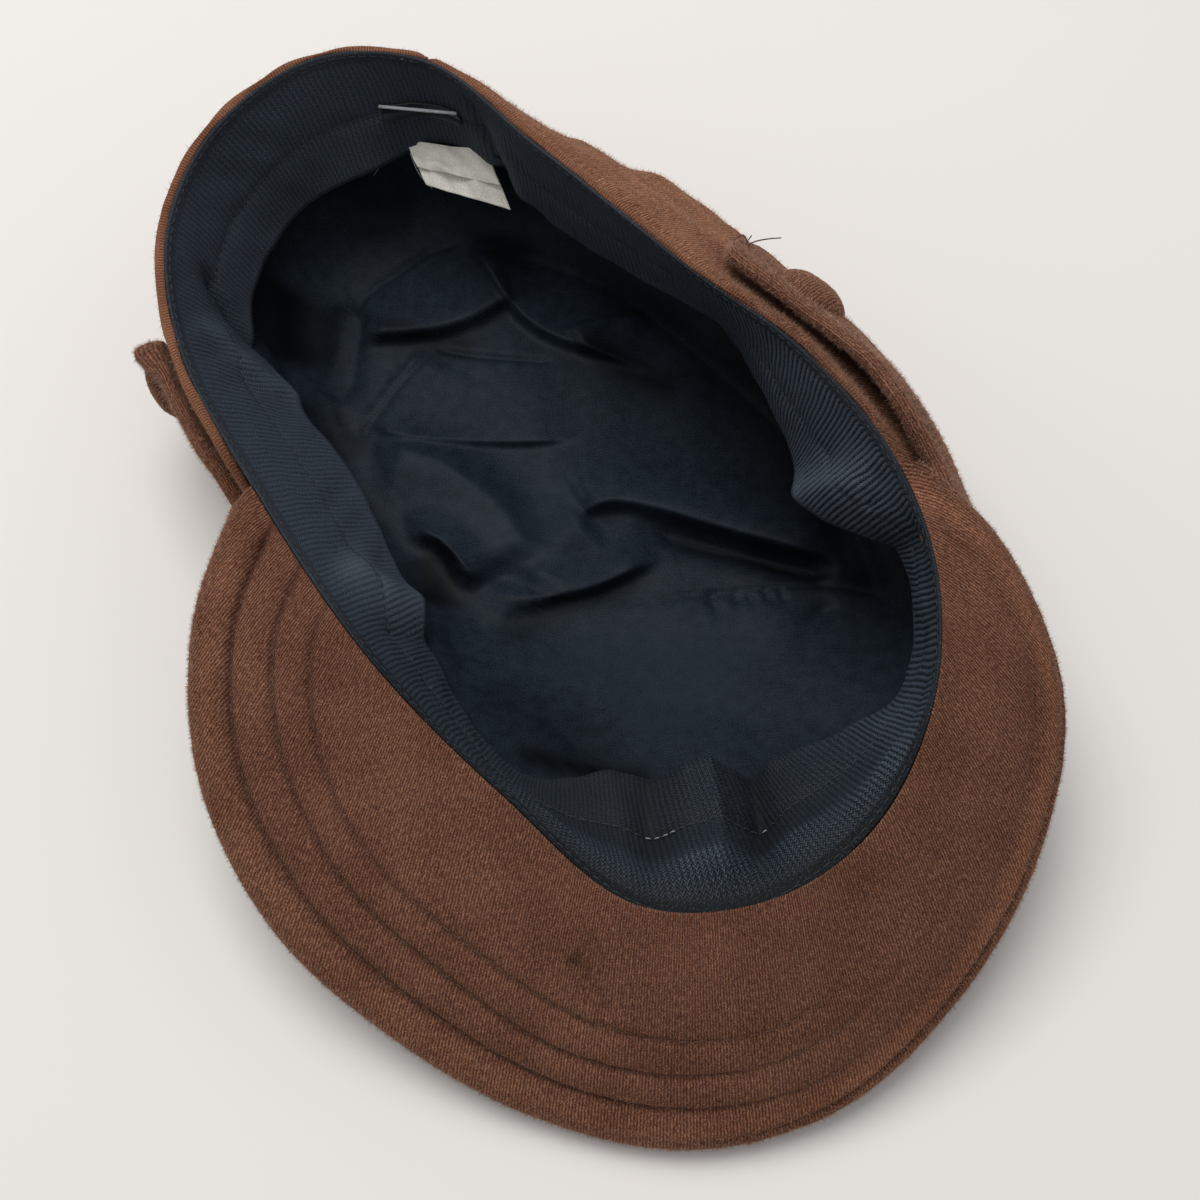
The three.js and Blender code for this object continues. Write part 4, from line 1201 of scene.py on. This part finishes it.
lining_wall = lining_wall - grid_normals(lining_wall, True) * behind[..., None]
floor_line = seam(lining_turns) - level_out(seam, lining_turns) * (BASE_ROLL + 2 * CLOTH)
floor_line[:, 2] = FLOOR_HIGH
floor_middle = TOP_CENTRE + [0, 0, FLOOR_HIGH]
floor_shrink = np.linspace(0.985, 0.008, FLOOR_ROWS)[:, None, None]
lining_floor = floor_middle + (floor_line - floor_middle) * floor_shrink
lining_points = np.concatenate([lining_wall, lining_floor])
for _ in range(12):
    smoothed = (lining_points[:-2] + 2 * lining_points[1:-1] + lining_points[2:]) / 4
    lining_points[SIDE_ROWS - 6 : SIDE_ROWS + 8] = smoothed[SIDE_ROWS - 7 : SIDE_ROWS + 7]
to_middle = np.linalg.norm(np.diff(lining_points[::-1], axis=0, prepend=lining_points[-1:]), axis=2)
to_middle = np.cumsum(to_middle, axis=0)[::-1]
lining_flat = unit(lining_points - floor_middle)[..., :2] * to_middle[..., None]
lining_flat = np.concatenate([lining_flat, lining_flat[:, :1]], axis=1)
x, y = lining_points[..., 0] + MIDDLE[0], lining_points[..., 1]
face = -grid_normals(lining_points, True)
face[-3:] = [0, 0, 1]
level = smooth(face[..., 2] * 1.6)
side_row = np.arange(len(lining_points))[:, None]
inside = smooth((side_row - SIDE_ROWS + 2) / 5)
# The lining's colour: the painted shade and light patches, and painted light on fold crests with painted
# shade at their feet.
lining_light_and_shade = folds(PAINTED_LINING_SHADE, x, y) + 0.02 * np.clip(folds(LINING_FOLDS, x, y) - 1, -3, 5)
loose = REST_LIFT + 0.4 * (1 + ripple(x, y, 26, 21))
fold = (1.3 * folds(LINING_FOLDS, x, y) + loose) * level * inside
sag = 0.9 * (1 + ripple(x, y + 2 * lining_points[..., 2], 24, 5)) * (1 - level)
lift = np.maximum(fold + sag * smooth((side_row - 2) / 5), -1.3)
lining_points = lining_points + unit(face * 0.5 + [0, 0, 0.5]) * lift[..., None]
lining_points[..., 1] -= LEAN * np.maximum(fold - REST_LIFT, 0)
lining = sheet_piece(
    "lining_sateen", lining_points, lining_flat, sateen, 0.5,
    wrap=True, facing=-1, wear_and_painted_light=lining_light_and_shade, cap=True,
)
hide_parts("lining_top", "lining_side")

# %% [markdown]
# ## The front strap
#
# A strap of folded cloth runs round the front under the peak, from button to button. It is four
# layers thick, so its edge shows as a puffed roll with fine lines, and two rows of stitches run
# along each side. Its section is a closed loop, carried along the wall. Its ends are rounded.

# %% Front strap
STRAP_FROM, STRAP_TO = 0.149, 0.8125
STRAP_LENGTH = 385.0
STRAP_DROP, STRAP_HIGH, STRAP_THICK = 7.0, 19.0, 4.0
UPPER_FLARE = [  # share along, mm off the wall
    (0, 0), (0.03, 0.8), (0.07, 0.4), (0.11, 1.7), (0.15, 1.2), (0.24, 0.6), (0.4, 0), (0.84, 0),
    (0.93, 1.8), (1, 3.5),
]
LOWER_FLARE = [(0, 0), (0.84, 0), (0.93, 3), (1, 6.5)]
STRAP_SWELL = [  # share along, thickness as a share of the whole
    (0, 1.0), (0.02, 0.9), (0.05, 0.8), (0.1, 0.85), (0.15, 1.0), (0.85, 1.0), (0.92, 0.8),
    (0.97, 0.85), (0.988, 1.8), (1, 1.8),
]
STRAP_ROWS = (2.4, 5.0, 14.0, 16.6)
STRAP_COLUMNS = 440
STRAP_ROUND = 5.0  # mm of each end that narrow to round it


def strap_base(share, high):
    """Inner face of the strap and the wall's normal there: high is the distance down from the
    strap's upper edge, in mm. It flares away from the wall near both ends."""
    share, high = np.broadcast_arrays(np.asarray(share, float), np.asarray(high, float))
    turn = STRAP_FROM + (STRAP_TO - STRAP_FROM) * share
    upper = np.linalg.norm(rim(turn) - middle(turn), axis=-1)
    raised = 2.0 * np.exp(-(((share - 0.09) / 0.06) ** 4))
    down = (STRAP_DROP + high - raised) / (upper + np.linalg.norm(middle(turn) - seam(turn), axis=-1))
    along = wall(turn + 0.004, down, False) - wall(turn - 0.004, down, False)
    normal = unit(np.cross(along, wall(turn, down + 0.004, False) - wall(turn, down - 0.004, False)))
    low = high / STRAP_HIGH
    upper_off = np.interp(share, *zip(*UPPER_FLARE)) * (1 - low)
    off = upper_off + np.interp(share, *zip(*LOWER_FLARE)) * low
    return wall(turn, down, False) + normal * (2 * CLEAR + off)[..., None], normal


over_edge = np.linspace(0, 1, 19)
over_face = np.linspace(0, 1, 20)[1:-1]
roll = 1.0 * np.sin(over_edge * np.pi) ** 0.7 + 0.12 * np.abs(np.sin(over_edge * 3 * np.pi))
section_thick = np.concatenate([over_edge, np.ones(18), over_edge[::-1], np.zeros(18)])
section_high = np.concatenate(
    [-roll, over_face * STRAP_HIGH, STRAP_HIGH + roll, over_face[::-1] * STRAP_HIGH]
)
groove = sum(np.exp(-(((section_high - row) / 0.6) ** 2)) for row in STRAP_ROWS)
thick = STRAP_THICK * section_thick - 0.4 * groove * (section_thick == 1)
strap_share = np.linspace(0, 1, STRAP_COLUMNS)
to_end = np.minimum(strap_share, 1 - strap_share) * STRAP_LENGTH
near_end = np.clip(to_end / STRAP_ROUND, 0, 1)
shrink = 0.45 + 0.55 * np.sqrt(1 - (1 - near_end) ** 2)
high = STRAP_HIGH / 2 + (section_high[:, None] - STRAP_HIGH / 2) * shrink
swell = np.interp(strap_share, *zip(*STRAP_SWELL))
strap_face, strap_normal = strap_base(strap_share[None, :], high)
strap_run = strap_share * STRAP_LENGTH
puff = 0.25 * ripple(strap_run, section_high[:, None], 20, 31)
strap_points = strap_face + strap_normal * (thick[:, None] * swell + puff)[..., None]
section_run = np.concatenate([[0], np.cumsum(np.hypot(np.diff(thick), np.diff(section_high)))])
strap_flat = np.stack(np.broadcast_arrays(section_run[:, None], strap_run[None, :]), -1)
strap_ring = np.arange(len(thick)) * STRAP_COLUMNS
strap_faces = [
    *loop_quads(len(thick), STRAP_COLUMNS),
    strap_ring[::-1],
    strap_ring + STRAP_COLUMNS - 1,
]
lines = np.abs(np.sin(section_thick * 3 * np.pi)) * ((section_thick > 0) & (section_thick < 1))
# Paler along the fine lines over the edge, and painted shade in the stitch grooves.
strap_lines_and_shade = 0.14 * lines - 0.25 * groove
strap_lines_and_shade = np.broadcast_to(strap_lines_and_shade[:, None], strap_points.shape[:2])
strap = new_piece(
    "front_strap_cloth", strap_points, strap_faces, moleskin, strap_flat,
    None, strap_lines_and_shade,
)
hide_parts("front_strap")
strap_normals = grid_normals(strap_points)
NAP_ROWS = 44  # the section's upper edge and outer face
on_edge = 0.2 + np.exp(-((np.maximum(np.arange(NAP_ROWS - 1) - 16, 0) / 8) ** 2))[:, None]
near_right, near_left = strap_share[1:] / 0.27, (1 - strap_share[1:]) / 0.12
near_ends = 0.2 + np.exp(-(near_right**6)) + np.exp(-(near_left**6))
nap_points, nap_normals = strap_points[:NAP_ROWS], strap_normals[:NAP_ROWS]
hairs("front_strap_nap", nap_points, nap_normals, 17000, 1.15, 13, on_edge * near_ends)

# %% Strap's stitches
strap_lines = []
stitched = np.linspace(0.02, 0.98, 500)
stitched_thick = STRAP_THICK * np.interp(stitched, strap_share, swell)
for row in STRAP_ROWS:
    line, out_of = strap_base(stitched, row)
    line = line + out_of * (stitched_thick - 0.25)[:, None]
    strap_lines.append(stitches(line, out_of, STITCH, 2.2, 0.3))
tubes("front_strap_stitches", np.concatenate(strap_lines), 0.16, brown_thread)

# %% [markdown]
# ## The buttons
#
# Each button is a metal dome covered with the cap's own cloth, which is gathered under its edge. It
# is a profile turned round the button's axis, with fine pleats that fade towards the middle. Its
# edge sinks a little into the soft strap.

# %% Buttons
BUTTON_R, BUTTON_HIGH = 9.5, 7.0
BUTTON_PLACES = {  # share along the strap, mm below its upper edge, mm sunk in
    "right": (0.052, 8.0, 3.0),
    "left": (0.992, 12.0, 4.9),
}
around = np.linspace(0, 2 * np.pi, 97)[:-1]
rise = np.linspace(0, np.pi / 2, 26)[:-1]
profile_r = np.concatenate([[0.02, 5, BUTTON_R - 1], BUTTON_R * np.cos(rise) ** 0.9, [0.02]])
profile_h = np.concatenate([[0, 0, 0], 1.2 + (BUTTON_HIGH - 1.2) * np.sin(rise), [BUTTON_HIGH]])
for which, (share, high, sunk) in BUTTON_PLACES.items():
    (centre,), (axis,) = strap_base([share], [high])
    centre = centre + axis * (STRAP_THICK * np.interp(share, strap_share, swell) - sunk)
    aside = unit(np.cross(axis, [0, 0, 1]))
    upward = np.cross(axis, aside)
    pleat = 1 + 0.012 * np.sin(around * 22) * smooth((profile_r[:, None] - 5) / 4)
    x = profile_r[:, None] * pleat * np.cos(around)
    y = profile_r[:, None] * pleat * np.sin(around)
    height = profile_h[:, None, None] + 0.12 * ripple(x, y, 7, 2)[..., None]
    points = centre + x[..., None] * aside + y[..., None] * upward + height * axis
    last = (len(profile_r) - 1) * len(around)
    ends = [np.arange(len(around))[::-1], last + np.arange(len(around))]
    faces = [*grid_quads(len(profile_r), len(around), True), *ends]
    made = new_piece(
        f"button_{which}_covered", points, faces, moleskin, np.stack([x, y], -1)
    )
    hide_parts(f"button_{which}")
    hairs(f"button_{which}_nap", points[3:], -grid_normals(points)[3:], 2200, 0.95, 14)

# %% [markdown]
# ## Labels
#
# A black woven label is sewn to the ribbon at the rear, and its folded upper edge shows as a pale
# bar. A white care label hangs from below the ribbon. It is a satin tape in two layers, and the
# lower one is longer. Both labels are bare here.

# %% Woven label
LABEL_TURNS, LABEL_DOWNS = (-0.030, 0.012), (0.49, 0.64)
BAR_DOWNS = (0.48, 0.46)
label_turn = np.linspace(*LABEL_TURNS, 40)
label_down = np.linspace(*LABEL_DOWNS, 20)
woven_points = band(label_turn[None, :], label_down[:, None])
woven_face = -grid_normals(woven_points)
woven_points = woven_points + woven_face * 0.9
woven_flat = np.stack(
    np.broadcast_arrays(label_turn[None, :] * RIM_LENGTH, label_down[:, None] * BAND_WIDE), -1
)
woven = sheet_piece(
    "woven_label_tape", woven_points, woven_flat, black_damask, 0.5, facing=-1
)
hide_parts("woven_label")
bar_ends = band(label_turn[[0, -1]], np.array(BAR_DOWNS)) + woven_face[0, [0, -1]] * 1.1
bar = bar_ends[0] + (bar_ends[1] - bar_ends[0]) * np.linspace(0, 1, 12)[:, None]
tubes("woven_label_edge", bar[None], 0.45, grey_thread, 8)

# %% Care label
CARE_CORNERS = [(-46, 118, 38), (-25, 114, 39), (-19, 99.8, 33.5), (-41, 107.5, 33.5)]
CARE_LABEL = np.array(CARE_CORNERS) - MIDDLE
CARE_WIDE, CARE_LONG = 24, 14
u, v = np.linspace(0, 1, 40)[None, :, None], np.linspace(0, 1, 30)[:, None, None]


def care_layer(reach, lift, seed):
    """A sheet between the label's four corners, over a share of its length, with a soft crease
    across it and small waves."""
    a, b, c, d = CARE_LABEL
    w = v * reach
    points = (a * (1 - u) + b * u) * (1 - w) + (d * (1 - u) + c * u) * w
    waves = ripple(u * CARE_WIDE, w * CARE_LONG, 7, seed)
    bend = 0.9 * np.exp(-(((w - 0.5) / 0.15) ** 2)) + 0.55 * waves
    return points - grid_normals(points) * (bend[..., 0] + lift)[..., None]


care_flat = np.stack(np.broadcast_arrays(u[..., 0] * CARE_WIDE, v[..., 0] * CARE_LONG), -1)
lower = sheet_piece(
    "care_label_tape", care_layer(1.0, 0.0, 7), care_flat, satin_tape, 0.25, facing=-1
)
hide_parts("care_label")
upper = sheet_piece(
    "care_label_upper", care_layer(0.62, 1.0, 9), care_flat, satin_tape, 0.25, facing=-1
)

# %% [markdown]
# ## Loose threads
#
# Threads come loose at the raw end of the strap and at the care label. Each follows a smooth curve
# through a few points.

# %% Threads
strap_end = strap_points[9, 0]
label_end = CARE_LABEL[0]
FAINT_STEPS = [(0, 0, 0), (-3, -1, -1), (-6, -4, -3), (-9, -6, -6)]
LOOSE = {  # material, radius in mm, points from a start
    "strap_thread_long": (brown_thread, 0.16, strap_end, [(2, 0, 0), (5, 1, 1), (8, 1, 2), (11, 2, 1)]),
    "strap_thread_short": (brown_thread, 0.14, strap_end, [(2, 0, 0), (3, 1, 1), (4, 2, 2)]),
    "strap_thread_curl": (brown_thread, 0.2, strap_end, [(0, -1, 0), (0, 1, 1.5), (2, 2, 2), (3, 0, 2)]),
    "label_thread": (grey_thread, 0.13, label_end, [(0, 0, 0), (1, -3, -2), (3, -6, -6), (6, -8, -9)]),
    "label_thread_faint": (grey_thread, 0.07, label_end, FAINT_STEPS),
}
for name, (material, radius, start, steps) in LOOSE.items():
    path = start + smooth_curve(np.array(steps, float), closed=False)(np.linspace(0, 1, 24))
    tubes(name, path[None], radius, material, 6)

# %% [markdown]
# ## Size
#
# The visual model has to stay inside the CAD model's box, apart from what cloth may stand proud.

# %% Size
low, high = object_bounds()
print("visual box in mm:", [round(x / MM, 1) for x in (high - low)])
